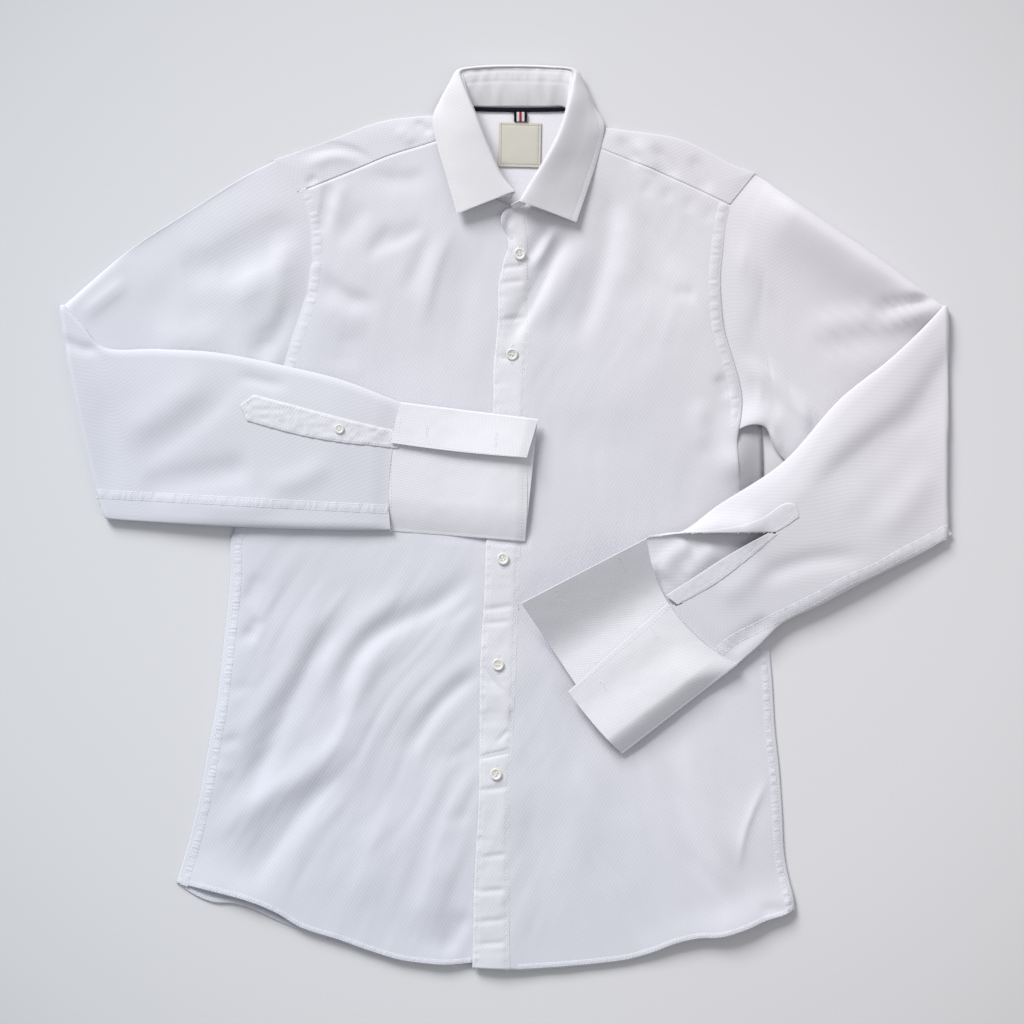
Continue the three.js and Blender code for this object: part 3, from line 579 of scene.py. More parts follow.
@dataclass(frozen=True)
class Ribbed:
    """Woven ribbon: bands of colour along it and fine ribs across it. Its texture place is in metres."""

    name: str
    bands: tuple[tuple[float, tuple[float, float, float]], ...]
    rib_pitch: float = 0.9
    roughness: float = 0.8

    def material(self) -> bpy.types.Material:
        """Builds the ribbon: the second texture place picks the band, by its share of the width."""
        material, shader = new_material(self.name)
        w = Wiring(material)
        uv = w.node("ShaderNodeUVMap", uv_map="cloth")
        split = w.node("ShaderNodeSeparateXYZ")
        w.link(uv.outputs["UV"], split.inputs[0])
        ramp = w.node("ShaderNodeValToRGB")
        ramp.color_ramp.interpolation = "CONSTANT"
        stops = ramp.color_ramp.elements
        for number, (share, colour) in enumerate(self.bands):
            stop = stops[number] if number < 2 else stops.new(share)
            stop.position = share
            stop.color = (*colour, 1)
        w.link(split.outputs[1], ramp.inputs["Fac"])
        w.link(ramp.outputs["Color"], shader.inputs["Base Color"])
        wave = w.math("SINE", w.math("MULTIPLY", split.outputs[0], 2 * math.pi / (self.rib_pitch * MM)))
        w.link(w.bump(wave, 0.12 * MM, 0.7), shader.inputs["Normal"])
        shader.inputs["Roughness"].default_value = self.roughness
        shader.inputs["Specular IOR Level"].default_value = 0.15
        return material


class Finishes:
    """Every material of the shirt and the floor, made once."""

    def __init__(self) -> None:
        """Builds them all."""
        doubled = {"cool": (0.70, 0.71, 0.755), "warm": (0.745, 0.735, 0.755)}
        band = {"cool": (0.68, 0.69, 0.738), "warm": (0.72, 0.71, 0.732)}
        seam = {"cool": (0.64, 0.66, 0.725), "warm": (0.685, 0.667, 0.70)}
        # painted light: the plate behind the neck is lighter than the rest of the cloth, against the collar's
        # shade on it
        neck = {"cool": (0.73, 0.75, 0.81), "warm": (0.78, 0.76, 0.79)}
        # painted shade: the back is darker than the rest of the cloth, darkest towards the right where the
        # arch under the left arm is
        inner = {"cool": (0.57, 0.59, 0.65), "warm": (0.44, 0.43, 0.45)}
        self.cotton = Twill("cotton_twill").material()
        self.sleeve = Twill("cotton_twill_sleeve", rib_angle=-38.0, strength=0.15).material()
        self.band = Twill("cotton_twill_doubled", **band).material()
        self.seam = Twill("cotton_twill_seam", **seam).material()
        self.neck = Twill("cotton_twill_neck_painted_light", **neck).material()
        # painted shade on the back, not a different cloth
        self.inner = Twill("cotton_twill_back_painted_shade", **inner).material()
        # the leaf's warm end is darker than its cool end, so the wing on the wearer's left is painted darker:
        # painted shade where it tilts away from the light
        leaf = {"cool": (0.70, 0.705, 0.74), "warm": (0.655, 0.645, 0.66)}
        stand = {"cool": (0.69, 0.695, 0.725), "warm": (0.715, 0.705, 0.725)}
        ribs = {"rib_angle": 40.0, "threads": 0.0}
        self.collar = Twill("cotton_twill_collar", rib_pitch=2.05, strength=0.28, **ribs, **leaf).material()
        self.stand = Twill("cotton_twill_stand", **ribs, **stand).material()
        self.cuff = Twill("cotton_twill_cuff", rib_angle=70.0, **doubled).material()
        self.thread = Plain(
            "white_thread", light=(0.84, 0.84, 0.87), deep=(0.78, 0.78, 0.82), scale=900, roughness=0.55
        ).material()
        self.dark_thread = Plain(
            "dark_thread", light=(0.16, 0.15, 0.13), deep=(0.08, 0.08, 0.07), scale=900
        ).material()
        self.label = Plain(
            "label_satin", light=(0.62, 0.6, 0.525), deep=(0.555, 0.535, 0.46), scale=700, roughness=0.55,
            grain=0.05,
        ).material()
        self.button = Plain(
            "pearl_button", light=(0.8, 0.79, 0.75), deep=(0.71, 0.69, 0.64), scale=180, roughness=0.34,
            grain=0.01, coat=0.4, subsurface=0.1,
        ).material()
        self.floor = Backdrop("pale_floor").material()
        navy, white, red = (0.003, 0.004, 0.009), (0.62, 0.6, 0.62), (0.34, 0.02, 0.03)
        self.tape = Ribbed("navy_ribbon", ((0.0, navy), (0.5, (0.004, 0.005, 0.012)))).material()
        self.loop = Ribbed(
            "striped_ribbon",
            ((0.0, navy), (0.2, white), (0.4, red), (0.6, white), (0.8, navy)),
        ).material()


# Seams and stitches


@dataclass(frozen=True)
class Stitch:
    """One lock stitch: a short thread that dips at both ends."""

    length: float = 2.0
    pitch: float = 2.9
    radius: float = 0.17
    stand: float = 0.12


HOLE_STITCH = Stitch(length=1.1, pitch=0.5, radius=0.13, stand=0.05)
EDGE_STITCH = Stitch(length=1.7, pitch=2.4, radius=0.14, stand=0.05)
NECK_STITCH = Stitch(length=1.7, pitch=2.4, radius=0.14, stand=0.1)


class Stitching:
    """Collects stitches along seam lines and makes them one mesh."""

    SECTION = 4
    RINGS = np.array([[-0.5, 0.25, -0.55], [-0.28, 0.9, 0.0], [0.28, 0.9, 0.0], [0.5, 0.25, -0.55]])

    def __init__(self, name: str, stitch: Stitch = Stitch()) -> None:
        """Starts an empty seam.

        Args:
            name: the piece's name.
            stitch: the size of one stitch.
        """
        self.name = name
        self.stitch = stitch
        self.centres: list[Array] = []
        self.normals: list[Array] = []
        self.tangents: list[Array] = []

    def along(self, path: Array, sheet: Sheet) -> None:
        """Lays stitches along a plan path on a sheet."""
        run = np.linalg.norm(np.diff(path[:, :2], axis=0), axis=1).sum()
        count = max(3, int(run / self.stitch.pitch))
        line = resample(path[:, :2], count)
        points, normals = sheet.drape(line)
        self.through(points, normals)

    def through(self, points: Array, normals: Array) -> None:
        """Lays one stitch at each of the given points, in line with them."""
        tangent = np.gradient(points, axis=0)
        self.put(points, normals, tangent / np.linalg.norm(tangent, axis=1, keepdims=True))

    def put(self, points: Array, normals: Array, tangents: Array) -> None:
        """Keeps stitches with the given middles, normals and directions."""
        self.centres.append(points)
        self.normals.append(normals)
        self.tangents.append(tangents)

    def buttonhole(self, start: tuple[float, float], stop: tuple[float, float], sheet: Sheet) -> None:
        """Sews a buttonhole: close stitches across both lips of a slot, and a bar at each end."""
        line = resample(np.array([start, stop], float), 26)
        ahead = line[-1] - line[0]
        ahead = ahead / np.linalg.norm(ahead)
        across = np.array([-ahead[1], ahead[0]])
        for side in (-0.75, 0.75):
            points, normals = sheet.drape(line + side * across)
            tangent = np.broadcast_to(np.append(across, 0.0), points.shape)
            self.put(points, normals, tangent)
        for end in (line[0] - 0.3 * ahead, line[-1] + 0.3 * ahead):
            bar = end + np.array([-0.8, -0.3, 0.3, 0.8])[:, None] * across
            points, normals = sheet.drape(bar)
            self.put(points, normals, np.broadcast_to(np.append(ahead, 0.0), points.shape))

    def build(self, material: bpy.types.Material, slot: str) -> bpy.types.Object:
        """Makes the mesh: each stitch is four square rings along its tangent."""
        centre = np.vstack(self.centres)[:, None, None]
        normal = np.vstack(self.normals)[:, None, None]
        tangent = np.vstack(self.tangents)[:, None, None]
        side = np.cross(tangent, normal)
        along, size, dip = (self.RINGS[:, k][None, :, None, None] for k in range(3))
        angle = (2 * np.pi * np.arange(self.SECTION) / self.SECTION)[None, None, :, None]
        s = self.stitch
        points = centre + tangent * along * s.length
        points = points + normal * (s.stand + dip * s.radius + size * s.radius * np.sin(angle))
        points = points + side * size * s.radius * 1.3 * np.cos(angle)
        count = points.shape[0]
        per = len(self.RINGS) * self.SECTION
        tube = quads_of(len(self.RINGS), self.SECTION, around=True)
        last = per - self.SECTION
        caps = np.array([[3, 2, 1, 0], [last, last + 1, last + 2, last + 3]])
        one = np.vstack([tube, caps])
        faces = (one[None] + per * np.arange(count)[:, None, None]).reshape(-1, 4)
        made = mesh_object(self.name, points.reshape(-1, 3), faces)
        return dress(made, material)


def dress(
    piece: bpy.types.Object, material: bpy.types.Material, replaces: tuple[str, ...] = ()
) -> bpy.types.Object:
    """Gives a piece its material and its body, and hides the CAD nodes that it stands for."""
    piece.data.materials.append(material)
    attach(piece, BODY)
    if replaces:
        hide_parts(*replaces)
    LOG.info("%s: %d faces", piece.name, len(piece.data.polygons))
    return piece


@dataclass(frozen=True)
class SeamBand:
    """A felled seam or narrow hem: a raised strip that puckers between its stitches.

    Its height over the panel is lift times 1 - q^4 across, less dents along its two stitch lines. Its edges
    are just under the panel's surface, so that they show no step.
    """

    name: str
    width: float
    lift: float = 0.75
    pucker: float = 0.3
    pitch: float = 5.0
    seed: int = 1
    taper: float = 0.1

    def lay(self, path: Array, sheet: Sheet, grid: float = 0.8) -> Sheet:
        """Builds the strip's grid on a sheet.

        Args:
            path: the strip's middle line in plan.
            sheet: what it lies on.
            grid: the step along it.

        Returns:
            The strip as a sheet.
        """
        length = np.linalg.norm(np.diff(path[:, :2], axis=0), axis=1).sum()
        middle = resample(path[:, :2], int(length / grid))
        q = np.array([1.0, 0.93, 0.8, 0.6, 0.35, 0.0, -0.35, -0.6, -0.8, -0.93, -1.0])
        ends = np.minimum(1, np.arange(len(middle))[::-1] * length / len(middle) / self.taper + 0.3)[:, None]
        lanes = np.stack([offset_path(middle, k * self.width / 2 * ends) for k in q], axis=1)
        rows, columns = lanes.shape[:2]
        points, _ = sheet.drape(lanes.reshape(-1, 2))
        points = points.reshape(rows, columns, 3)
        run = np.linspace(0, length, rows)[:, None] + 0.0 * q[None]
        ripple = wobble(run, q[None] * 0.8 + 0 * run, self.pitch, self.seed)
        fine = wobble(run, q[None] * 3 + 0 * run, self.pitch * 3.2, self.seed + 7)
        body = 1 - np.abs(q[None]) ** 4
        sewn = np.exp(-(((np.abs(q[None]) - 0.66) / 0.16) ** 2))
        raised = self.lift * body * (1 - 0.35 * sewn)
        height = raised + self.pucker * (ripple + 0.4 * fine) * (1 - q[None] ** 2)
        points[..., 2] += height - 0.1 * np.abs(q[None]) ** 4
        uv = np.stack([run, q[None] * self.width / 2 + 0 * run], axis=2)
        return Sheet(points, uv)


# The body: back, yoke, fronts and placket

ARMHOLE_RIGHT: Points = (
    (-207.9, 321.3), (-186.3, 291.6), (-179.1, 279), (-174.6, 257.4), (-173.7, 245.7), (-174.6, 224.1),
    (-177.8, 201.6), (-184.5, 178.2), (-190.8, 160.2), (-198, 136.8), (-212.4, 107.1), (-233.1, 78.3),
)
ARMHOLE_LEFT: Points = (
    (226.8, 309.2), (217.8, 300.6), (209.7, 290.7), (203.4, 280.8), (198.9, 261.9), (196.2, 238.5),
    (194, 214.2), (195.3, 184.5), (197.6, 167.4), (204.8, 143.1), (210.6, 122.4), (213.3, 105.3),
    (212.4, 90.9), (209.7, 76.5),
)
SIDE_RIGHT: Points = (
    (-293.4, -329.4), (-280.8, -287.1), (-270.9, -243.9), (-263.7, -202.5), (-257.8, -171.5),
    (-250.6, -111.2), (-244.8, -51.3), (-244.8, -21.6), (-241.2, -9.9), (-236.7, 33.3), (-233.1, 78.3),
)
SIDE_LEFT: Points = (
    (260.6, -352.8), (259.2, -341.1), (255.2, -325.4), (251.1, -301.9), (249.3, -266.9), (246.6, -227.7),
    (242.6, -189), (240.3, -149.4), (236.7, -110.7), (228.6, -52.2), (214.2, 6.3), (211.1, 35.1),
    (209.2, 55.8), (208.8, 69.3), (209.7, 76.5),
)
SIDE_LEFT_BACK: Points = (
    (260.6, -352.8), (251.1, -301.9), (246.6, -227.7), (242.6, -189), (236.7, -110.7), (234.9, -38.7),
    (233.1, 38.7), (231.8, 81.9),
)
HEM_RIGHT: Points = (
    (-293.4, -329.4), (-261.4, -336.6), (-230.4, -344.7), (-206.1, -354.6), (-181.8, -369), (-148.1, -379.8),
    (-120.6, -389.7), (-93.6, -397.8), (-75.6, -400.5), (-50.4, -402.3), (-28.8, -400.5), (9.9, -400.5),
)
HEM_LEFT: Points = (
    (-27, -404.1), (-3.6, -405.4), (12.6, -406.4), (37.8, -405), (75.6, -402), (104.4, -398.7),
    (115.7, -396.6), (135, -390.6), (154.8, -382.9), (174.2, -378.4), (195.3, -377.1), (218.7, -369.9),
    (234.9, -362.7), (252, -357.3), (260.6, -352.8),
)
HEM_BACK: Points = (
    (-293.4, -330.3), (-278.1, -340.2), (-261.4, -346.5), (-244.8, -347.4), (-230.4, -351), (-201.2, -364.5),
    (-174.6, -375.3), (-160.2, -380.7), (-111.6, -390.6), (-48.6, -396), (50.4, -394.2), (131.4, -383.4),
    (203.4, -363.6), (260.6, -352.8),
)
YOKE_SEAM_RIGHT: Points = ((-186.3, 291.6), (-138.6, 310.5), (-103.5, 324.9), (-63, 337.5), (-46.8, 344.7))
YOKE_SEAM_LEFT: Points = ((73.8, 337.5), (87.3, 331.2), (126, 315.9), (169.2, 297), (203.4, 280.8))
SHOULDER_RIGHT: Points = ((-207.9, 321.3), (-156.6, 339.3), (-111.6, 355.5), (-64.8, 360.9), (-46.8, 360.9))
SHOULDER_LEFT: Points = ((73.8, 354.6), (92.7, 350.1), (160.2, 339.3), (204.3, 317.7), (226.8, 309.2))
NECKLINE_RIGHT: Points = ((-46.8, 344.7), (-36.9, 321.3), (-21.6, 298.8), (-5.4, 284.4), (7.2, 279))
NECKLINE_LEFT: Points = ((11.5, 279.9), (27.9, 285.3), (46.8, 300.6), (60.3, 321.3), (73.8, 337.5))
NECK_BACK: Points = (
    (-46.8, 360.9), (-39.6, 366.3), (-27, 369.4), (10.8, 370.4), (50.4, 369.4), (63.9, 364.5), (73.8, 354.6),
)
YOKE_BACK_SEAM = 270.9
CENTRE_RIGHT: Points = (
    (9.9, -400.5), (9.9, -324), (11.7, -247.5), (16.2, -119.7), (21.6, 15.3), (25.2, 123.3), (27.9, 195.3),
    (23.4, 244.8), (14.4, 265.5), (7.2, 279),
)
PLACKET_EDGE: Points = (
    (-28.4, -405), (-26.4, -324), (-22.5, -247.5), (-21.6, -134.1), (-20.1, -108.9), (-17.6, -71.1),
    (-16.2, -23.4), (-9.9, 96.3), (-9.3, 134.1), (-6.8, 159.3), (-5.4, 178.2), (-4.9, 209.7), (-1.8, 222.3),
    (0, 231.3), (3.6, 240.3), (2.7, 252.9), (-2.7, 265.5), (0, 274), (11.5, 279.9),
)
PLACKET_INNER: Points = (
    (6.3, -406.4), (5.4, -324), (6.3, -247.5), (10.3, -171.9), (15.3, -38.7), (20.3, 96.3), (21.6, 134.1),
    (24.1, 159.3), (24.3, 195.3), (24.3, 222.3), (23.4, 249.3), (21.6, 265.5), (20.7, 276.3), (19.8, 282.2),
)
FOREARM_SHADES: tuple[Points, ...] = (
    (
        (-390.6, 177.3), (-228.6, 150.3), (-93.6, 107.1), (32.4, 91.8), (23.4, -27.9), (-111.6, -17.1),
        (-363.6, -7.2),
    ),
    (
        (392.4, 186.3), (248.4, 55.8), (122.4, -11.7), (9.9, -74.7), (59.4, -155.7), (108.9, -218.7),
        (212.4, -133.2), (392.4, -29.7),
    ),
)

CREASES_RIGHT: tuple[Crease, ...] = (
    Crease(
        (
            (-18, -44.1), (-57.6, -76.5), (-106.2, -100.8), (-130.5, -120.6), (-144.9, -149.4),
            (-152.1, -178.2),
        ),
        10, -3.6, 0.15, fade=0.3,
    ),
    Crease(((-90, -62.1), (-126, -96.3), (-150.3, -128.7), (-159.3, -167.4)), 11, 2.6),
    Crease(
        ((-136.8, -89.1), (-167.4, -120.6), (-183.6, -153), (-203.4, -189.9), (-237.6, -265.5)), 11, -3.2,
        0.1, fade=0.25,
    ),
    Crease(((-136.8, -71.1), (-171, -92.7), (-187.2, -128.7), (-219.6, -173.7), (-241.2, -216)), 12, 2.0),
    Crease(
        (
            (-91.8, -94.5), (-128.7, -144.9), (-135, -189.9), (-179.1, -230.4), (-219.6, -254.7),
            (-259.2, -293.4),
        ),
        13, 3.6, -0.1, fade=0.2,
    ),
    Crease(((-136.8, -220.5), (-187.2, -270.9), (-219.6, -315), (-235.8, -341.1)), 13, -3.8, 0.2, fade=0.3),
    Crease(((-19.8, -135), (-57.6, -169.2), (-78.3, -198), (-91.8, -217.8)), 8, -2.6, 0.25, fade=0.25),
    Crease(((-21.6, -119.7), (-66.6, -161.1), (-89.1, -188.1)), 9, 1.6),
    Crease(((-32.4, -351.9), (-43.2, -373.5), (-55.8, -396.9)), 9, -2.6, 0.2),
    Crease(((-48.6, -292.5), (-64.8, -335.7), (-82.8, -378.9)), 14, 1.8),
    Crease(((-75.6, -254.7), (-107.1, -299.7), (-138.6, -349.2)), 18, 1.3),
    Crease(((-23.4, -74.7), (-46.8, -110.7), (-60.3, -135.9)), 9, 1.1),
    Crease(((-217.8, -89.1), (-226.8, -99.9), (-234, -111.6)), 6, -1.7),
    Crease(((-221.4, -49.5), (-226.8, -65.7), (-234.9, -80.1)), 7, -1.2),
    Crease(((-244.8, -112.5), (-217.8, -103.5)), 6, -1.0),
    Crease(((-250.2, -157.5), (-223.2, -150.3)), 6, -0.9),
    Crease(((-259.2, -205.2), (-234, -198)), 6, -1.4),
    Crease(((-261, -223.2), (-241.2, -232.2)), 6, 0.9),
    Crease(((-23.4, -74.7), (-61.2, -98.1)), 5, -0.7),
    Crease(((-23.4, -202.5), (-57.6, -223.2)), 6, -0.9),
    Crease(((-26.1, -265.5), (-57.6, -274.5)), 7, -0.8),
    Crease(((-156.6, 279.9), (-161.1, 267.3), (-168.3, 252.9)), 6, -1.5),
    Crease(((-129.6, 310.5), (-98.1, 303.3), (-63, 306.9)), 9, -1.7, 0.2),
    Crease(((-120.6, 285.3), (-138.6, 260.1), (-156.6, 243.9)), 9, -1.5),
    Crease(((-68.4, 265.5), (-91.8, 251.1), (-118.8, 240.3)), 8, -1.9, 0.2),
    Crease(((-97.2, 265.5), (-111.6, 247.5), (-124.2, 229.5)), 7, -1.5),
    Crease(((-167.4, 224.1), (-153, 206.1), (-136.8, 196.2), (-111.6, 189.9)), 9, -2.6, 0.2),
    Crease(((-163.8, 198.9), (-143.1, 181.8), (-118.8, 175.5)), 12, 1.4),
    Crease(((-45.9, 265.5), (-63, 218.7), (-74.7, 168.3)), 8, 2.0, 0.2),
    Crease(((-64.8, 260.1), (-75.6, 229.5), (-90, 195.3)), 8, -1.6),
    Crease(((-30.6, 253.8), (-37.8, 204.3), (-44.1, 141.3)), 12, -1.2),
    Crease(((-138.6, 168.3), (-143.1, 148.5), (-145.8, 130.5)), 12, -1.0),
    Crease(((-183.6, 235.8), (-167.4, 229.5)), 5, -0.8),
    Crease(((-183.6, 204.3), (-169.2, 195.3)), 5, -0.8),
    Crease(((-191.7, 324), (-158.4, 333.9), (-132.3, 328.5), (-114.3, 315.9)), 5, -2.2, 0.3),
    Crease(((-183.6, 314.1), (-147.6, 324.9), (-124.2, 317.7)), 6, 1.6),
    Crease(((-178.2, 297.9), (-167.4, 306.9)), 4, -1.4),
    Crease(((-157.5, 301.5), (-160.2, 285.3), (-163.8, 265.5)), 5, -2.4, -0.3),
    Crease(((-143.1, 305.1), (-149.4, 280.8), (-153, 261.9)), 7, 1.6),
    Crease(((-81, 357.3), (-72, 351), (-64.8, 342.9)), 4, -2.2),
    Crease(((-97.2, 350.1), (-86.4, 341.1), (-81, 333.9)), 6, 1.2),
)
CREASES_LEFT: tuple[Crease, ...] = (
    Crease(((58.5, 261.9), (35.1, 212.4), (12.6, 171.9), (2.7, 152.1)), 8, -4.2, 0.25, fade=0.25),
    Crease(((72.9, 252.9), (50.4, 208.8), (27.9, 166.5)), 11, 2.4),
    Crease(((40.5, 265.5), (30.6, 246.6), (18, 224.1)), 6, -3.0, 0.2),
    Crease(((48.6, 265.5), (38.7, 243.9), (25.2, 220.5)), 5, 1.8),
    Crease(((86.4, 306.9), (96.3, 265.5), (82.8, 204.3), (62.1, 148.5)), 11, -3.0, 0.15, fade=0.25),
    Crease(((106.2, 285.3), (113.4, 240.3), (106.2, 195.3)), 14, 1.8),
    Crease(((114.3, 282.6), (135.9, 249.3), (159.3, 214.2)), 9, -1.8),
    Crease(((151.2, 202.5), (174.6, 198.9)), 6, -1.2),
    Crease(((129.6, 303.3), (127.8, 287.1)), 5, -0.7),
    Crease(((147.6, 297.9), (146.7, 281.7)), 5, -0.7),
    Crease(((167.4, 288.9), (164.7, 272.7)), 5, -0.7),
    Crease(((187.2, 279.9), (181.8, 263.7)), 5, -0.7),
    Crease(((153, -195.3), (180, -266.4), (208.8, -349.2)), 13, 2.6),
    Crease(((135.9, -205.2), (162.9, -272.7), (187.2, -344.7)), 13, -2.0),
    Crease(((238.5, -231.3), (216.9, -281.7), (210.6, -319.5)), 8, 2.8, 0.2, Profile.SHARP),
    Crease(((226.8, -351.9), (262.8, -352.8)), 5, -1.6),
    Crease(((86.4, -182.7), (72.9, -254.7), (63.9, -335.7)), 18, 1.5),
    Crease(((122.4, -146.7), (108.9, -218.7)), 13, -1.4),
    Crease(((190.8, 128.7), (198, 116.1), (201.6, 105.3)), 6, -2.4),
    Crease(((179.1, 108.9), (176.4, 82.8), (181.8, 55.8)), 9, 1.8),
    Crease(((100.8, 344.7), (111.6, 330.3), (122.4, 314.1)), 6, -2.0),
    Crease(((115.2, 341.1), (127.8, 324.9), (140.4, 306.9)), 7, 2.2),
    Crease(((131.4, 335.7), (144, 321.3), (156.6, 301.5)), 6, -2.0),
    Crease(((167.4, 326.7), (176.4, 310.5), (185.4, 288.9)), 7, -1.9),
)


@dataclass(frozen=True)
class Drift:
    """Faint parallel waves in the cloth: where they are strongest, which way they run, and their height."""

    centre: tuple[float, float]
    reach: float
    direction: float
    pitch: float
    height: float
    seed: int

    def relief(self, x: Array, y: Array) -> Array:
        """Noise drawn out five times along the waves' direction, under a round mask."""
        c, s = math.cos(math.radians(self.direction)), math.sin(math.radians(self.direction))
        dx, dy = x - self.centre[0], y - self.centre[1]
        bend = 9 * wobble(x, y, 90, self.seed + 3)
        along, across = dx * c + dy * s, dy * c - dx * s + bend
        mask = np.exp(-(((dx * dx + dy * dy) / self.reach**2) ** 1.5))
        waves = wobble(along, across * 5, self.pitch * 5, self.seed)
        waves = waves + 0.4 * wobble(along + 40, across * 5, self.pitch * 2.4, self.seed + 1)
        return 0.62 * self.height * waves * mask


DRIFTS: tuple[Drift, ...] = (
    Drift((-147.6, -182.7), 170, 56, 13, 1.1, 201),
    Drift((-93.6, 222.3), 120, 78, 17, 0.45, 202),
    Drift((86.4, 195.3), 130, 68, 18, 0.5, 203),
    Drift((113.4, 33.3), 120, 84, 18, 0.35, 204),
    Drift((122.4, -272.7), 170, -66, 15, 1.0, 205),
    Drift((-66.6, -326.7), 120, 70, 14, 0.8, 206),
    Drift((167.4, 231.3), 90, -50, 14, 0.4, 207),
)


@dataclass(frozen=True)
class BodySeam:
    """A felled seam or hem: its strip, its line, how far inside the line it lies, and its panel.

    rows says where its stitches run, as shares of the strip's width from its middle.
    """

    band: SeamBand
    line: Points
    count: int
    aside: float
    panel: str
    rows: tuple[float, ...] = (-0.36, 0.36)


BODY_SEAMS: tuple[BodySeam, ...] = (
    BodySeam(SeamBand("side_seam_right", 7.6, 0.3, 0.26, 1.7, 41), SIDE_RIGHT, 200, -6.0, "front_right"),
    BodySeam(SeamBand("side_seam_left", 6.6, 0.3, 0.28, 1.7, 42), SIDE_LEFT[:9], 200, 5.2, "front_left"),
    BodySeam(
        SeamBand("armhole_seam_right", 9.4, 0.25, 0.26, 2.8, 43, 30),
        ARMHOLE_RIGHT[1:], 200, 5.9, "front_right", rows=(),
    ),
    BodySeam(
        SeamBand("armhole_seam_left", 9.4, 0.25, 0.26, 2.8, 44, 40),
        ARMHOLE_LEFT[3:], 200, -5.9, "front_left", rows=(),
    ),
    BodySeam(SeamBand("hem_right", 4.6, 0.35, 0.16, 2.2, 45), HEM_RIGHT[:-1], 300, 2.6, "front_right"),
    BodySeam(SeamBand("hem_left", 4.6, 0.35, 0.16, 2.2, 46), HEM_LEFT[2:], 300, 2.6, "front_left"),
    BodySeam(SeamBand("hem_back", 4.6, 0.35, 0.16, 2.2, 47), HEM_BACK[:8], 160, 2.6, "back"),
)


@dataclass(frozen=True)
class Lie:
    """How the buttoned body lies: heights in millimetres.

    The top surface is edge at the outline and edge + swell well inside it; the rise is 1 - exp(-d / roll).
    Creases have the share rim at the outline. Under lowest a trough keeps the share firm of its depth, and
    over the ceiling, which is where a forearm lies on the cloth, a swell keeps the share give.
    """

    edge: float = 2.6
    swell: float = 2.5
    roll: float = 9.0
    rim: float = 0.35
    strength: float = 0.9
    lowest: float = 1.3
    firm: float = 0.25
    hem_reach: float = 22.0
    overlap: float = 0.8
    band: float = 0.8
    ceiling: float = 7.4
    room: float = 1.2
    give: float = 0.2
    seed: int = 11


ARMPIT_SWELLS: Points = ((225.9, 84.6, 17, 6.0), (210.6, 76.5, 15, 3.5), (211.5, 49.5, 18, 8.0))


def armpit_rise(x: Array, y: Array) -> Array:
    """How far the cloth stands up round the arch under the left arm: the sum of its round swells."""
    return sum(h * np.exp(-(((x - cx) ** 2 + (y - cy) ** 2) / r**2)) for cx, cy, r, h in ARMPIT_SWELLS)


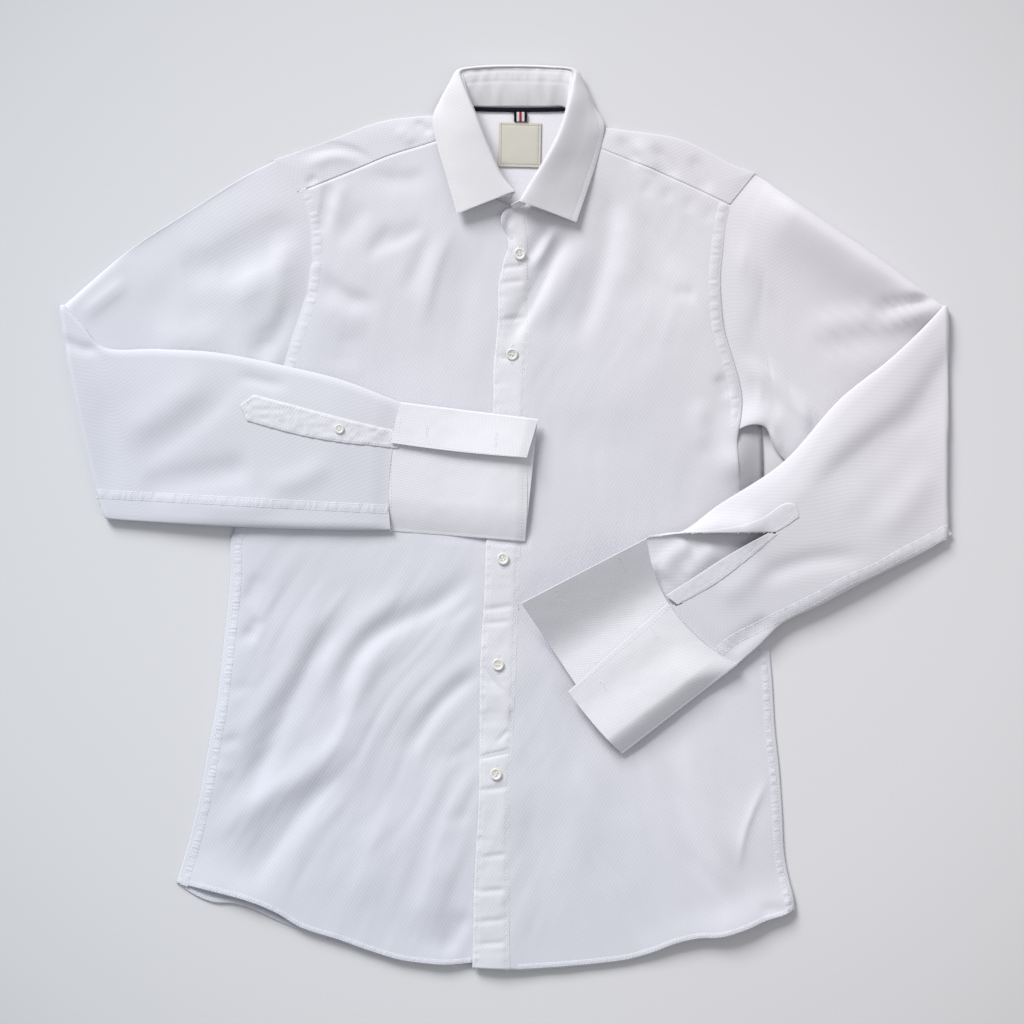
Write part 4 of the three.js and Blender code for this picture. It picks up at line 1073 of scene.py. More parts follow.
class Body:
    """The buttoned body of the shirt."""

    THICKNESS = 0.5

    def __init__(self, finishes: Finishes, lie: Lie = Lie()) -> None:
        """Keeps the finishes and works out the outline.

        Args:
            finishes: the materials.
            lie: how the body lies.
        """
        self.finishes = finishes
        self.lie = lie
        sides = [(SIDE_RIGHT, ARMHOLE_RIGHT[::-1]), (SIDE_LEFT, ARMHOLE_LEFT[::-1])]
        self.outlines = [np.vstack([smooth_path(p, 60) for p in pair]) for pair in sides]
        self.outlines += [smooth_path(p, 30) for p in (SHOULDER_RIGHT, SHOULDER_LEFT)]
        self.hems = [smooth_path(p, 60) for p in (HEM_RIGHT, HEM_LEFT)]
        self.pieces: dict[str, bpy.types.Object] = {}
        owners = ("front_right", "front_left", "back", "yoke")
        self.trims: dict[str, list[bpy.types.Object]] = {name: [] for name in owners}
        self.front_right: Sheet
        self.front_left: Sheet
        self.placket: Sheet
        self.back: Sheet
        self.yoke_flaps: list[Sheet] = []

    def height(self, x: Array, y: Array) -> Array:
        """The height of the fronts' upper side: outline roll, creases and slight unevenness."""
        lie = self.lie
        away = np.min([to_path(line, x, y)[0] for line in self.outlines], axis=0)
        inner = 1 - np.exp(-away / lie.roll)
        hem = np.min([to_path(line, x, y)[0] for line in self.hems], axis=0)
        z = lie.edge + lie.swell * inner
        folds = relief(CREASES_RIGHT + CREASES_LEFT, x, y) + undulation(x, y, lie.seed)
        folds = folds + sum(drift.relief(x, y) for drift in DRIFTS)
        z = z + folds * (lie.rim + (1 - lie.rim) * inner) * lie.strength
        z = np.maximum(z, lie.lowest + lie.firm * (z - lie.lowest))
        z = z + self.hem_lift(x) * np.exp(-((hem / lie.hem_reach) ** 2))
        z = z + armpit_rise(x, y)
        low = np.minimum(z, lie.ceiling - lie.room + lie.give * (z - lie.ceiling))
        return np.where(self.covered(x, y), low, z)

    @staticmethod
    def hem_lift(x: Array) -> Array:
        """How far the hem stands off the surface below it, by its place across."""
        at = [-293, -270, -230, -195, -140, -90, -60, -35, -10, 15, 60, 120, 170, 200, 235, 255, 262]
        lift = [1.0, 3.2, 4.2, 1.0, 0.4, 0.8, 2.4, 0.4, 1.6, 0.8, 0.2, 0.6, 3.6, 6.0, 4.6, 5.2, 2.4]
        return np.interp(x, at, lift)

    @staticmethod
    def covered(x: Array, y: Array) -> Array:
        """Whether a place lies under a forearm or cuff."""
        return np.any([inside(outline, x, y) for outline in FOREARM_SHADES], axis=0)

    def panel(self, bottom: Array, top: Array, left: Array, right: Array, lift: float) -> Sheet:
        """Spans a front between its edges, on the body's height plus a lift."""
        plan = coons(bottom, top, left, right)
        z = self.height(plan[..., 0], plan[..., 1]) + lift
        return Sheet(np.dstack([plan, z]))

    def build_fronts(self) -> None:
        """Makes both fronts."""
        rows, columns = 234, 119
        left = split_path(SIDE_RIGHT, ARMHOLE_RIGHT[1:][::-1], 0.66, rows)
        top = split_path(YOKE_SEAM_RIGHT, NECKLINE_RIGHT, 0.68, columns)
        bottom, right = smooth_path(HEM_RIGHT, columns), smooth_path(CENTRE_RIGHT, rows)
        self.front_right = self.panel(bottom, top, left, right, 0.0)
        left = smooth_path(PLACKET_EDGE, rows)
        left[:, 0] += 1.2
        top = split_path(NECKLINE_LEFT, YOKE_SEAM_LEFT, 0.36, columns)
        right = split_path(SIDE_LEFT, ARMHOLE_LEFT[3:][::-1], 0.66, rows)
        self.front_left = self.panel(smooth_path(HEM_LEFT, columns), top, left, right, 0.0)
        across = self.front_left.points[..., 0] - left[:, None, 0]
        self.front_left.points[..., 2] += self.lie.overlap * (1 - smoothstep(across, 26, 60))
        self.front_right = Sheet(rolled_edge(self.front_right.points, True))
        self.front_left = Sheet(rolled_edge(self.front_left.points, False))
        for sheet, name in ((self.front_right, "front_right"), (self.front_left, "front_left")):
            piece = thicken(sheet.build(f"{name}_cloth"), self.THICKNESS)
            self.pieces[name] = dress(piece, self.finishes.cotton, (name,))

    def build_placket(self) -> None:
        """Makes the button placket, a doubled band whose cross puckers are pulled in by its stitching."""
        rows, columns = 420, 21
        left, right = smooth_path(PLACKET_EDGE, rows), smooth_path(PLACKET_INNER, rows)
        share = np.linspace(0, 1, columns)[None, :, None]
        plan = left[:, None] * (1 - share) + right[:, None] * share
        x, y = plan[..., 0], plan[..., 1]
        q = 2 * share[..., 0] - 1
        z = self.height(x, y) + self.lie.overlap + self.lie.band
        body = 1 - np.abs(q) ** 8
        across = wobble(0.25 * x, y, 9.5, 31) + 0.5 * wobble(0.4 * x, y, 4.6, 32)
        edge = 0.35 * wobble(x, y, 3.6, 33) * np.exp(-(((np.abs(q) - 0.85) / 0.16) ** 2))
        groove = -0.28 * np.exp(-(((np.abs(q) - 0.8) / 0.05) ** 2))
        z = z + (0.3 * across * (0.5 + 0.5 * np.abs(q)) + edge) * (1 - smoothstep(q, 0.7, 0.98))
        z = z + groove - 0.45 * (1 - body) - 0.52 * smoothstep(q, 0.45, 0.92)
        z = z + relief(PLACKET_CREASES, x, y) * (1 - smoothstep(q, 0.55, 0.9))
        z = z + self.neck_curl(x, y)
        self.placket = Sheet(np.dstack([plan, z]))
        piece = thicken(self.placket.build("placket_cloth"), 0.9)
        self.pieces["placket"] = dress(piece, self.finishes.band, ("placket",))

    @staticmethod
    def neck_curl(x: Array, y: Array) -> Array:
        """The placket's free corner by the collar, which curls up from the front below it."""
        return 3.4 * np.exp(-(((x + 3) / 9) ** 2)) * smoothstep(y, 236, 262)

    def build_back(self) -> None:
        """Makes the back, which lies on the floor; its darker finish is painted shade, most of all in the
        arch under the left arm.
        """
        rows, columns = 150, 110
        left = split_path(SIDE_RIGHT, ARMHOLE_RIGHT[3:][::-1], 0.68, rows)
        right = split_path(SIDE_LEFT_BACK, ((231.8, 81.9),) + ARMHOLE_LEFT[4:][::-1][1:], 0.72, rows)
        top = np.linspace(left[-1], right[-1], columns)
        plan = coons(smooth_path(HEM_BACK, columns), top, left, right)
        x, y = plan[..., 0], plan[..., 1]
        hem = to_path(smooth_path(HEM_BACK, 60), x, y)[0]
        lift = np.interp(x, [-293, -262, -235, -200, -160], [0.6, 1.6, 2.2, 1.0, 0.0])
        z = 0.62 + 0.12 * wobble(x, y, 40, 5) + lift * np.exp(-((hem / 15) ** 2))
        gap = (209.7, 53.1)
        z = z + 8.5 * np.exp(-(((x - gap[0]) / 17) ** 2) - ((y - gap[1]) / 26) ** 2)
        self.back = Sheet(np.dstack([plan, z]))
        piece = thicken(self.back.build("back_cloth"), self.THICKNESS)
        # the darker finish is painted shade
        self.pieces["back"] = dress(piece, self.finishes.inner, ("back",))

    def build_yoke(self) -> None:
        """Makes the yoke: a flap over each shoulder and the plate behind the neck."""
        for seam, shoulder, ends in (
            (YOKE_SEAM_RIGHT, SHOULDER_RIGHT, (-173.7, -46.8)),
            (YOKE_SEAM_LEFT, SHOULDER_LEFT, (73.8, 200.7)),
        ):
            self.yoke_flaps.append(self.flap(smooth_path(seam, 84), smooth_path(shoulder, 84), ends))
        neck = smooth_path(NECK_BACK, 50)
        base = np.stack([np.linspace(neck[0, 0], neck[-1, 0], 50), np.full(50, YOKE_BACK_SEAM)], axis=1)
        share = np.linspace(0, 1, 40)[:, None, None]
        plan = base[None] * (1 - share) + neck[None] * share
        x, y = plan[..., 0], plan[..., 1]
        z = 0.75 + 0.1 * wobble(x, y, 26, 9)
        plate = thicken(Sheet(np.dstack([plan, z])).build("yoke_neck_cloth"), self.THICKNESS)
        # the plate's lighter finish is painted light, against the collar's shade
        self.trims["yoke"].append(dress(plate, self.finishes.neck))
        piece = thicken(joined_sheets("yoke_cloth", self.yoke_flaps), self.THICKNESS)
        self.pieces["yoke"] = dress(piece, self.finishes.cotton, ("yoke",))

    def flap(self, seam: Array, fold: Array, ends: tuple[float, float]) -> Sheet:
        """One shoulder: from the front seam up to the fold, round it, and down its underside."""
        over = np.linspace(0, 1, 30)
        out = fold - seam
        out /= np.linalg.norm(out, axis=1, keepdims=True)
        lines = []
        for share in over:
            plan = seam * (1 - share) + (fold - 1.0 * out) * share
            z = self.height(plan[:, 0], plan[:, 1]) + 0.14 * (1 - share**4)
            lines.append(np.column_stack([plan, z]))
        top = lines[-1][:, 2]
        for angle in np.linspace(0, np.pi, 8)[1:]:
            middle, radius = (top + 0.5) / 2, (top - 0.5) / 2
            plan = fold + out * (np.minimum(radius, 1.0) * np.sin(angle) - 1.0)[:, None]
            lines.append(np.column_stack([plan, middle + radius * np.cos(angle)]))
        base = np.stack([np.linspace(*ends, len(fold)), np.full(len(fold), YOKE_BACK_SEAM)], axis=1)
        for share in np.linspace(0, 1, 14)[1:]:
            plan = (fold - 1.0 * out) * (1 - share) + base * share
            lines.append(np.column_stack([plan, np.full(len(fold), 0.5)]))
        points = np.array(lines)
        run = np.cumsum(np.linalg.norm(np.diff(points, axis=0, prepend=points[:1]), axis=2), axis=0)
        uv = np.dstack([np.broadcast_to(seam[None, :, 0], run.shape), run])
        return Sheet(points, uv)

    def build_seams(self) -> None:
        """Makes the felled seams, the hems and their stitches."""
        panels = {"front_right": self.front_right, "front_left": self.front_left, "back": self.back}
        stitches = Stitching("body_stitches")
        for seam in BODY_SEAMS:
            path = offset_path(smooth_path(seam.line, seam.count), seam.aside)
            strip = seam.band.lay(path, panels[seam.panel])
            piece = thicken(strip.build(seam.band.name), 0.5)
            self.trims[seam.panel].append(dress(piece, self.finishes.seam))
            for side in seam.rows:
                stitches.along(offset_path(path, side * seam.band.width), strip)
        for path in (PLACKET_EDGE, PLACKET_INNER):
            aside = -3.4 if path is PLACKET_EDGE else 3.4
            stitches.along(offset_path(smooth_path(path, 300), aside), self.placket)
        for flap, line in zip(self.yoke_flaps, (YOKE_SEAM_RIGHT[:-1], YOKE_SEAM_LEFT[1:])):
            stitches.along(offset_path(smooth_path(line, 100), 1.6), flap)
        self.trims["front_right"].append(stitches.build(self.finishes.thread, "cotton"))

    def build(self) -> None:
        """Makes every piece of the body."""
        self.build_back()
        self.build_fronts()
        self.build_placket()
        self.build_yoke()
        self.build_seams()


PLACKET_CREASES: tuple[Crease, ...] = (
    Crease(((8.1, 275.4), (2.7, 260.1), (9, 243.9)), 4, -2.2, fade=0.3),
    Crease(((-20.7, -129.6), (5.4, -164.7), (31.5, -202.5)), 2.2, -1.4, fade=0.2),
    Crease(((31.5, -202.5), (5.4, -209.7), (-23.4, -216)), 2.2, -1.4, fade=0.2),
    Crease(((-16.2, -146.7), (0.9, -169.2), (14.4, -191.7)), 8, 1.2),
    Crease(((-8.1, -203.4), (7.2, -188.1)), 2.0, -0.8),
    Crease(((-6.3, 223.2), (23.4, 225.9)), 2.4, -0.9),
    Crease(((-6.3, 209.7), (21.6, 212.4)), 2.4, -0.8),
    Crease(((-7.2, 176.4), (23.4, 180)), 2.6, -0.9),
    Crease(((-9, 142.2), (19.8, 145.8)), 2.6, -0.8),
    Crease(((-19.8, -83.7), (12.6, -79.2)), 2.6, -0.8),
    Crease(((-21.6, -96.3), (10.8, -92.7)), 2.4, -0.7),
    Crease(((-23.4, -245.7), (9, -241.2)), 2.4, -0.8),
    Crease(((-25.2, -306), (7.2, -301.5)), 2.4, -0.8),
    Crease(((-27, -336.6), (6.3, -333.9)), 2.6, -0.9),
    Crease(((-27.9, -363.6), (6.3, -360.9)), 2.6, -0.8),
    Crease(((-27.9, -383.4), (6.3, -381.6)), 2.4, -0.8),
)


def joined_sheets(name: str, sheets: list[Sheet]) -> bpy.types.Object:
    """One mesh object from several sheets."""
    points, faces, uvs, start = [], [], [], 0
    for sheet in sheets:
        rows, columns = sheet.points.shape[:2]
        faces.append(quads_of(rows, columns, sheet.around) + start)
        points.append(sheet.points.reshape(-1, 3))
        uvs.append(sheet.uv.reshape(-1, 2))
        start += rows * columns
    return mesh_object(name, np.vstack(points), np.vstack(faces), np.vstack(uvs) * MM)


# Sleeves


@dataclass(frozen=True)
class Ring:
    """Where a flattened sleeve is cut across: its two folded edges and how far the cut bulges between."""

    a: tuple[float, float]
    b: tuple[float, float]
    bulge: float = 0.0

    def row(self) -> tuple[float, ...]:
        """The ring as one row of numbers."""
        return (*self.a, *self.b, self.bulge)


@dataclass(frozen=True)
class SleeveCut:
    """One sleeve's lie: rings from the armhole to the elbow, the elbow fold, and rings to the cuff."""

    name: str
    upper: tuple[Ring, ...]
    elbow: Ring
    out: int
    forearm: tuple[Ring, ...]
    upper_creases: tuple[Crease, ...]
    forearm_creases: tuple[Crease, ...]
    seam: Points
    slit: Points
    seed: int
    armhole: Points
    sink: float = 2.4
    inner_creases: tuple[Crease, ...] = ()
    wedge: float = 2.5
    tail: float = 1.5
    turn_height: float = 5.0
    middle: float = 2.5
    raised: float = 2.8
    half: float = 2.1
    reach: float = 4.6
    roll: float = 8.0
    room: float = 3.2


SLEEVE_RIGHT = SleeveCut(
    name="sleeve_right",
    upper=(
        Ring((-205.2, 320.4), (-231.3, 80.1), 44),
        Ring((-239.4, 302.4), (-253.8, 63.9), 27),
        Ring((-282.6, 275.4), (-282.6, 45.9), 13),
        Ring((-336.6, 240.3), (-318.6, 24.3), 4),
    ),
    elbow=Ring((-399.6, 190.8), (-359.1, -1.8), -4),
    out=-1,
    forearm=(
        Ring((-378, 172.8), (-344.7, -2.7), 0),
        Ring((-360, 153), (-324.9, -4), 0),
        Ring((-309.6, 150.8), (-287.1, -6.3), 0),
        Ring((-258.3, 147.6), (-237.6, -9), 0),
        Ring((-197.1, 135.9), (-183.6, -10.8), -1),
        Ring((-143.1, 122.4), (-138.6, -11.7), -3),
        Ring((-90, 101.7), (-101.7, -11.7), -6),
    ),
    upper_creases=(
        Crease(((-172.8, 268.2), (-206.1, 247.5), (-232.2, 233.1), (-253.8, 207.9)), 12, -4.9, 0.25),
        Crease(((-183.6, 240.3), (-217.8, 220.5), (-244.8, 184.5)), 13, 2.2),
        Crease(((-187.2, 202.5), (-198.9, 167.4), (-234, 139.5)), 11, -5.0),
        Crease(((-381.6, 178.2), (-359.1, 196.2), (-334.8, 214.2)), 5, 1.8),
        Crease(((-219.6, 297.9), (-269.1, 252.9), (-318.6, 189.9)), 20, 1.1),
        Crease(((-197.1, 229.5), (-237.6, 227.7), (-291.6, 220.5)), 11, -3.4, fade=0.2),
        Crease(((-282.6, 249.3), (-300.6, 204.3), (-327.6, 168.3)), 15, -1.2),
        Crease(((-244.8, 168.3), (-282.6, 159.3), (-318.6, 157.5)), 10, 2.0),
    ),
    forearm_creases=(
        Crease(((-228.6, 135.9), (-268.2, 90.9), (-313.2, 59.4), (-342, 35.1)), 13, -2.8, 0.25),
        Crease(((-262.8, 130.5), (-300.6, 98.1), (-349.2, 67.5)), 16, 3.4),
        Crease(((-241.2, 127.8), (-217.8, 121.5), (-190.8, 116.1)), 6, -2.4),
        Crease(((-223.2, 45.9), (-273.6, 36), (-327.6, 24.3)), 12, -5.0, fade=0.2),
        Crease(((-398.7, 162.9), (-381.6, 152.1), (-360, 149.4)), 5, -2.8),
        Crease(((-151.2, 53.1), (-183.6, 33.3), (-217.8, 26.1)), 11, 2.6),
        Crease(((-365.4, 125.1), (-354.6, 69.3), (-349.2, 15.3)), 12, -2.0),
        Crease(((-192.6, 15.3), (-237.6, 8.1), (-282.6, 9.9)), 10, 2.0),
    ),
    seam=((-366.3, 20.7), (-259.2, 14.9), (-183.6, 10.8), (-103.5, 6.8)),
    slit=(),
    seed=61,
    armhole=ARMHOLE_RIGHT,
    sink=1.6,
)
SLEEVE_LEFT = SleeveCut(
    name="sleeve_left",
    upper=(
        Ring((224.1, 308.7), (207, 76.5), -36),
        Ring((232.2, 304.2), (221.4, 82.4), -31),
        Ring((242.1, 297.4), (234.9, 80.1), -27),
        Ring((252, 290.7), (242.1, 63.9), -23),
        Ring((264.6, 282.2), (252.9, 50.4), -18),
        Ring((296.1, 260.6), (289.8, 26.1), -9),
        Ring((338.4, 231.8), (334.8, 4.5), -3),
    ),
    elbow=Ring((399.6, 189.9), (398.7, -21.6), 0),
    out=1,
    wedge=7.0,
    tail=0.8,
    roll=14.0,
    sink=1.5,
    forearm=(
        Ring((371.7, 165.6), (378.9, -30.6), 0),
        Ring((345.6, 141.3), (353.7, -43.2), 0),
        Ring((300.6, 105.3), (322.2, -58.5), 0),
        Ring((250.2, 49.5), (283.9, -78.8), -2),
        Ring((190.8, 9.9), (248.4, -96.3), -8),
        Ring((159.3, -12.6), (227.7, -116.1), -14),
        Ring((126.9, -18.9), (208.8, -132.3), -18),
    ),
    upper_creases=(
        Crease(
            ((228.6, 292.5), (261.9, 272.7), (306.9, 242.1), (347.4, 214.2), (396.9, 181.8)), 20, 7.4, 0.45,
            fade=0.2,
        ),
        Crease(((201.6, 256.5), (223.2, 222.3), (243, 184.5)), 9, 3.0, 0.3),
        Crease(((204.3, 252.9), (223.2, 222.3), (242.1, 188.1)), 4, -1.8, profile=Profile.SHARP, fade=0.3),
        Crease(((214.2, 231.3), (230.4, 199.8), (243, 168.3)), 9, -2.4),
        Crease(((322.2, 180.9), (360.9, 190.8), (399.6, 198.9)), 5.5, -4.6, fade=0.3),
        Crease(((262.8, 167.4), (311.4, 174.6), (360.9, 180.9), (403.2, 188.1)), 9, 3.8, fade=0.25),
        Crease(((210.6, 175.5), (243.9, 162.9), (282.6, 148.5)), 9, -2.6),
        Crease(((266.4, 135.9), (311.4, 139.5), (356.4, 150.3)), 14, 2.0),
        Crease(((255.6, 139.5), (269.1, 117.9), (283.5, 92.7)), 8, -6.0, fade=0.25),
        Crease(
            ((201.6, 154.8), (216.9, 148.5), (232.2, 143.1), (257.4, 118.8), (273.6, 94.5)), 9, -5.0,
            fade=0.25,
        ),
        Crease(((206.1, 137.7), (223.2, 132.3), (240.3, 125.1)), 5.5, 2.4, fade=0.3),
        Crease(((221.4, 126.9), (224.1, 116.1), (227.7, 105.3)), 3.2, -3.6),
        Crease(((228.6, 111.6), (239.4, 101.7), (245.7, 87.3)), 7, -3.0),
        Crease(((234, 135.9), (255.6, 110.7), (277.2, 82.8)), 6, 5.4, -0.3, fade=0.2),
        Crease(((234.9, 82.8), (243, 69.3), (248.4, 54.9)), 5, 2.2),
    ),
    forearm_creases=(
        Crease(
            ((432.9, 168.3), (397.8, 130.5), (369, 92.7), (322.2, 58.5), (270.9, 17.1)), 20, -7.6, -0.3,
            fade=0.22,
        ),
        Crease(((423.9, 159.3), (397.8, 128.7), (371.7, 90), (345.6, 71.1)), 7, -4.0, fade=0.3),
        Crease(((333, -35.1), (275.4, -38.7), (236.7, -52.2), (215.1, -70.2)), 9, -3.6),
        Crease(((383.4, 49.5), (360.9, 10.8), (329.4, -20.7)), 14, 3.0),
        Crease(((347.4, 42.3), (327.6, 8.1), (300.6, -13.5)), 14, -1.6),
        Crease(((396, 78.3), (369.9, 51.3), (345.6, 15.3)), 14, -1.2),
        Crease(((133.2, -15.3), (176.4, -10.8), (237.6, -9.9)), 12, 8.0, fade=0.2),
        Crease(((198.9, -121.5), (219.6, -105.3), (241.2, -90.9)), 7, -5.0, fade=0.25),
        Crease(((187.2, -74.7), (212.4, -61.2), (239.4, -44.1)), 12, 3.0),
    ),
    seam=(
        (399.6, -10.8), (381.2, -20.7), (359.6, -31.5), (331.7, -46.8), (306.9, -57.6), (275.9, -74.7),
        (244.8, -90), (223.7, -100.8), (204.8, -110.7), (192.6, -121.5),
    ),
    slit=(
        (243, -13.5), (212.4, -14), (185.4, -14), (161.1, -14.4), (122.4, -17.1), (144, -74.7),
        (154.8, -80.1),
        (212.4, -35.1),
    ),
    seed=71,
    armhole=ARMHOLE_LEFT,
    inner_creases=(
        Crease(((137.7, -53.1), (147.6, -36.9), (167.4, -23.4)), 9, 3.4, 0.3, fade=0.15),
        Crease(((161.1, -54.9), (174.6, -38.7), (190.8, -25.2)), 7, 2.4, 0.3, fade=0.2),
        Crease(((243.9, -11.7), (207.9, -23.4), (167.4, -35.1)), 15, 2.0, fade=0.2),
    ),
)


class Sleeve:
    """A flattened tube that lies on the floor to the elbow, turns up and back, and crosses the front.

    The ring at each station has two walls. The one that goes round the outside of the elbow is the top one of
    the forearm. In the turn a point's radius is middle plus or minus half times the ring's own roundness.
    """

    TOP = 88
    INNER = 34
    UPPER_ROWS = 84
    TURN_ROWS = 18
    FOREARM_ROWS = 150
    UPPER_FOLDS = 1.15
    FOREARM_FOLDS = 0.6
    INNER_FOLDS = 0.08
    CUFF_DIP = 1.3

    def __init__(self, cut: SleeveCut, finishes: Finishes) -> None:
        """Keeps the cut.

        Args:
            cut: the sleeve's sizes.
            finishes: the materials.
        """
        self.cut = cut
        self.finishes = finishes
        self.tube = self.make_tube()

    def line(self, row: Array, share: Array) -> Array:
        """Points across a ring: from its edge a to its edge b with a parabolic bulge square to them."""
        a, b, bulge = row[0:2], row[2:4], row[4]
        run = b - a
        square = np.array([-run[1], run[0]]) / np.linalg.norm(run)
        return a + run * share[:, None] + square * (bulge * 4 * share * (1 - share))[:, None]

    def make_tube(self) -> Sheet:
        """Works out the tube's grid: stations along it by points round it."""
        cut = self.cut
        e = cut.elbow
        inwards = cut.out * cut.reach
        near = Ring((e.a[0] - inwards, e.a[1]), (e.b[0] - inwards, e.b[1]), e.bulge)
        upper = smooth_path([r.row() for r in (*cut.upper, near)], self.UPPER_ROWS)
        forearm = smooth_path([r.row() for r in (near, *cut.forearm)], self.FOREARM_ROWS)
        ends = 0.5 - 0.5 * np.cos(np.pi * (np.arange(self.TOP) + 0.5) / self.TOP)
        share_top = 0.6 * ends + 0.4 * (np.arange(self.TOP) + 0.5) / self.TOP
        share_inner = 1 - (0.5 - 0.5 * np.cos(np.pi * (np.arange(self.INNER) + 0.5) / self.INNER))
        share = np.concatenate([share_top, share_inner])
        outer = np.concatenate([np.ones(self.TOP), -np.ones(self.INNER)])
        rows = []
        hole = smooth_path(cut.armhole, 200)
        at_hole = np.column_stack([np.interp(share, np.linspace(0, 1, 200), c) for c in hole.T])
        tuck = np.array([-3.0 * cut.out, 0.0])
        shift = at_hole + tuck - self.line(upper[0], share)
        for k, row in enumerate(upper):
            progress = k / (self.UPPER_ROWS - 1)
            held = 1 - float(smoothstep(np.array(progress), 0.0, 0.55))
            rows.append(self.level(row, share, -outer, -1, progress, shift * held))
        for angle in np.linspace(0, np.pi, self.TURN_ROWS)[1:-1]:
            rows.append(self.turn(np.array(near.row()), share, outer, angle))
        for k, row in enumerate(forearm):
            rows.append(self.level(row, share, outer, 1, k / (self.FOREARM_ROWS - 1)))
        points = np.array(rows)
        run = np.cumsum(np.linalg.norm(np.diff(points, axis=0, prepend=points[:1]), axis=2), axis=0)
        along = np.broadcast_to(run.mean(axis=1, keepdims=True), run.shape)
        round_step = np.linalg.norm(np.diff(points, axis=1, prepend=points[:, :1]), axis=2)
        around = np.cumsum(round_step, axis=1)
        return SleeveTube(points, np.dstack([along, around]), self.UPPER_ROWS, self.TOP)

    def roundness(self, row: Array, share: Array) -> Array:
        """How full the ring is at each point: a quarter circle within the roll of each edge, then 1."""
        width = math.dist(row[0:2], row[2:4])
        edge = np.minimum(share, 1 - share) * width
        q = np.clip(edge / self.cut.roll, 0, 1)
        return np.sqrt(1 - (1 - q) ** 2)

    def level(
        self, row: Array, share: Array, side: Array, tier: int, progress: float, shift: Array | float = 0.0
    ) -> Array:
        """A ring that lies flat: tier -1 is the upper arm and 1 the forearm; side is 1 on its upper wall."""
        cut = self.cut
        plan = self.line(row, share) + shift
        x, y = plan[:, 0], plan[:, 1]
        full = self.roundness(row, share)
        z = cut.turn_height + tier * cut.middle + side * cut.half * full
        at = np.array(progress)
        upper = side > 0
        creases = cut.upper_creases if tier < 0 else cut.forearm_creases
        folds = relief(creases, x, y) + undulation(x, y, cut.seed + tier)
        folds = folds * (self.FOREARM_FOLDS if tier > 0 else self.UPPER_FOLDS)
        thick = 0.0
        if tier > 0:
            z = z + cut.raised * smoothstep(at, 0.02, 0.42)
            grown = smoothstep(at, 0.0, 0.42) * (1 - 0.8 * smoothstep(at, 0.8, 1.0))
            thick = (cut.wedge * smoothstep(share, -0.04, 0.3) * (1 - share) ** 0.9 + cut.tail) * grown
            folds = self.limit(folds, cut.room + thick)
            thick = thick - self.CUFF_DIP * smoothstep(at, 0.93, 1.0)
        inner = self.INNER_FOLDS * folds + relief(cut.inner_creases, x, y)
        swell = np.where(upper, (folds + thick) * full, inner * full)
        if tier < 0:
            meet = smoothstep(at, 0.0, 0.13)
            z = np.where(upper, cut.sink + (z - cut.sink) * (0.1 + 0.9 * meet), z)
            z = np.maximum(z + swell * meet, np.where(upper, 1.5, 0.35) + 0.02 * share)
            z = z + armpit_rise(x, y) * np.where(upper, 1.0, 0.85 * (1 - full) ** 2)
        else:
            z = z + swell
        return np.column_stack([plan, z])

    @staticmethod
    def limit(folds: Array, room: Array | float) -> Array:
        """Folds whose depth levels off at the room between the walls: room times tanh(depth / room)."""
        return np.where(folds < 0, room * np.tanh(folds / room), folds)

    def turn(self, row: Array, share: Array, outer: Array, angle: float) -> Array:
        """A ring in the elbow's turn, at the given angle round it."""
        cut = self.cut
        plan = self.line(row, share)
        radius = cut.middle + outer * cut.half * self.roundness(row, share)
        soft = 0.5 * wobble(plan[:, 1], plan[:, 1] * 0 + angle * 9, 17, cut.seed + 5) * np.sin(angle)
        x, y = plan[:, 0], plan[:, 1]
        folds = relief(cut.forearm_creases, x, y) + undulation(x, y, cut.seed + 1)
        folds = self.limit(self.FOREARM_FOLDS * folds, cut.room)
        folds = folds * np.where(outer > 0, 1.0, self.INNER_FOLDS) * self.roundness(row, share)
        folds = folds * smoothstep(np.array(angle), 1.2, math.pi)
        plan = plan + np.column_stack([cut.out * (radius + soft) * np.sin(angle), 0 * share])
        return np.column_stack([plan, cut.turn_height - radius * np.cos(angle) + folds])

    def build(self) -> None:
        """Makes the sleeve and its felled seam."""
        cut = self.cut
        piece = self.tube.build(f"{cut.name}_cloth")
        if cut.slit:
            self.open_slit(piece)
        dress(piece, self.finishes.sleeve, (cut.name,))
        top = self.tube.forearm_top()
        seam = smooth_path(cut.seam, 240)
        width = 9.0 if cut.out < 0 else 11.0
        band = SeamBand(f"{cut.name}_seam", width, 0.32, 0.22, 2.6, cut.seed + 3)
        strip = band.lay(seam, top)
        strip.points[..., 2] = np.maximum(strip.points[..., 2], cut.turn_height)
        made = dress(thicken(strip.build(band.name), 0.4), self.finishes.seam)
        stitches = Stitching(f"{cut.name}_stitches")
        for side in (-0.38, 0.38):
            stitches.along(offset_path(seam, side * width), strip)
        sewn = stitches.build(self.finishes.thread, "cotton")

    def open_slit(self, piece: bpy.types.Object) -> None:
        """Takes out the faces of the upper wall inside the sleeve's slit."""
        points = self.tube.points
        rows, columns = points.shape[:2]
        faces = quads_of(rows, columns, True)
        middle = points.reshape(-1, 3)[faces].mean(axis=1)
        row = faces[:, 0] // columns
        column = faces[:, 0] % columns
        top = (row >= self.UPPER_ROWS + self.TURN_ROWS) & (column < self.TOP)
        cut_out = top & inside(self.cut.slit, middle[:, 0], middle[:, 1])
        uv = self.tube.uv.reshape(-1, 2) * MM
        fresh = mesh_object("slit_copy", points.reshape(-1, 3), faces[~cut_out], uv)
        old = piece.data
        piece.data = fresh.data
        bpy.data.objects.remove(fresh)
        bpy.data.meshes.remove(old)


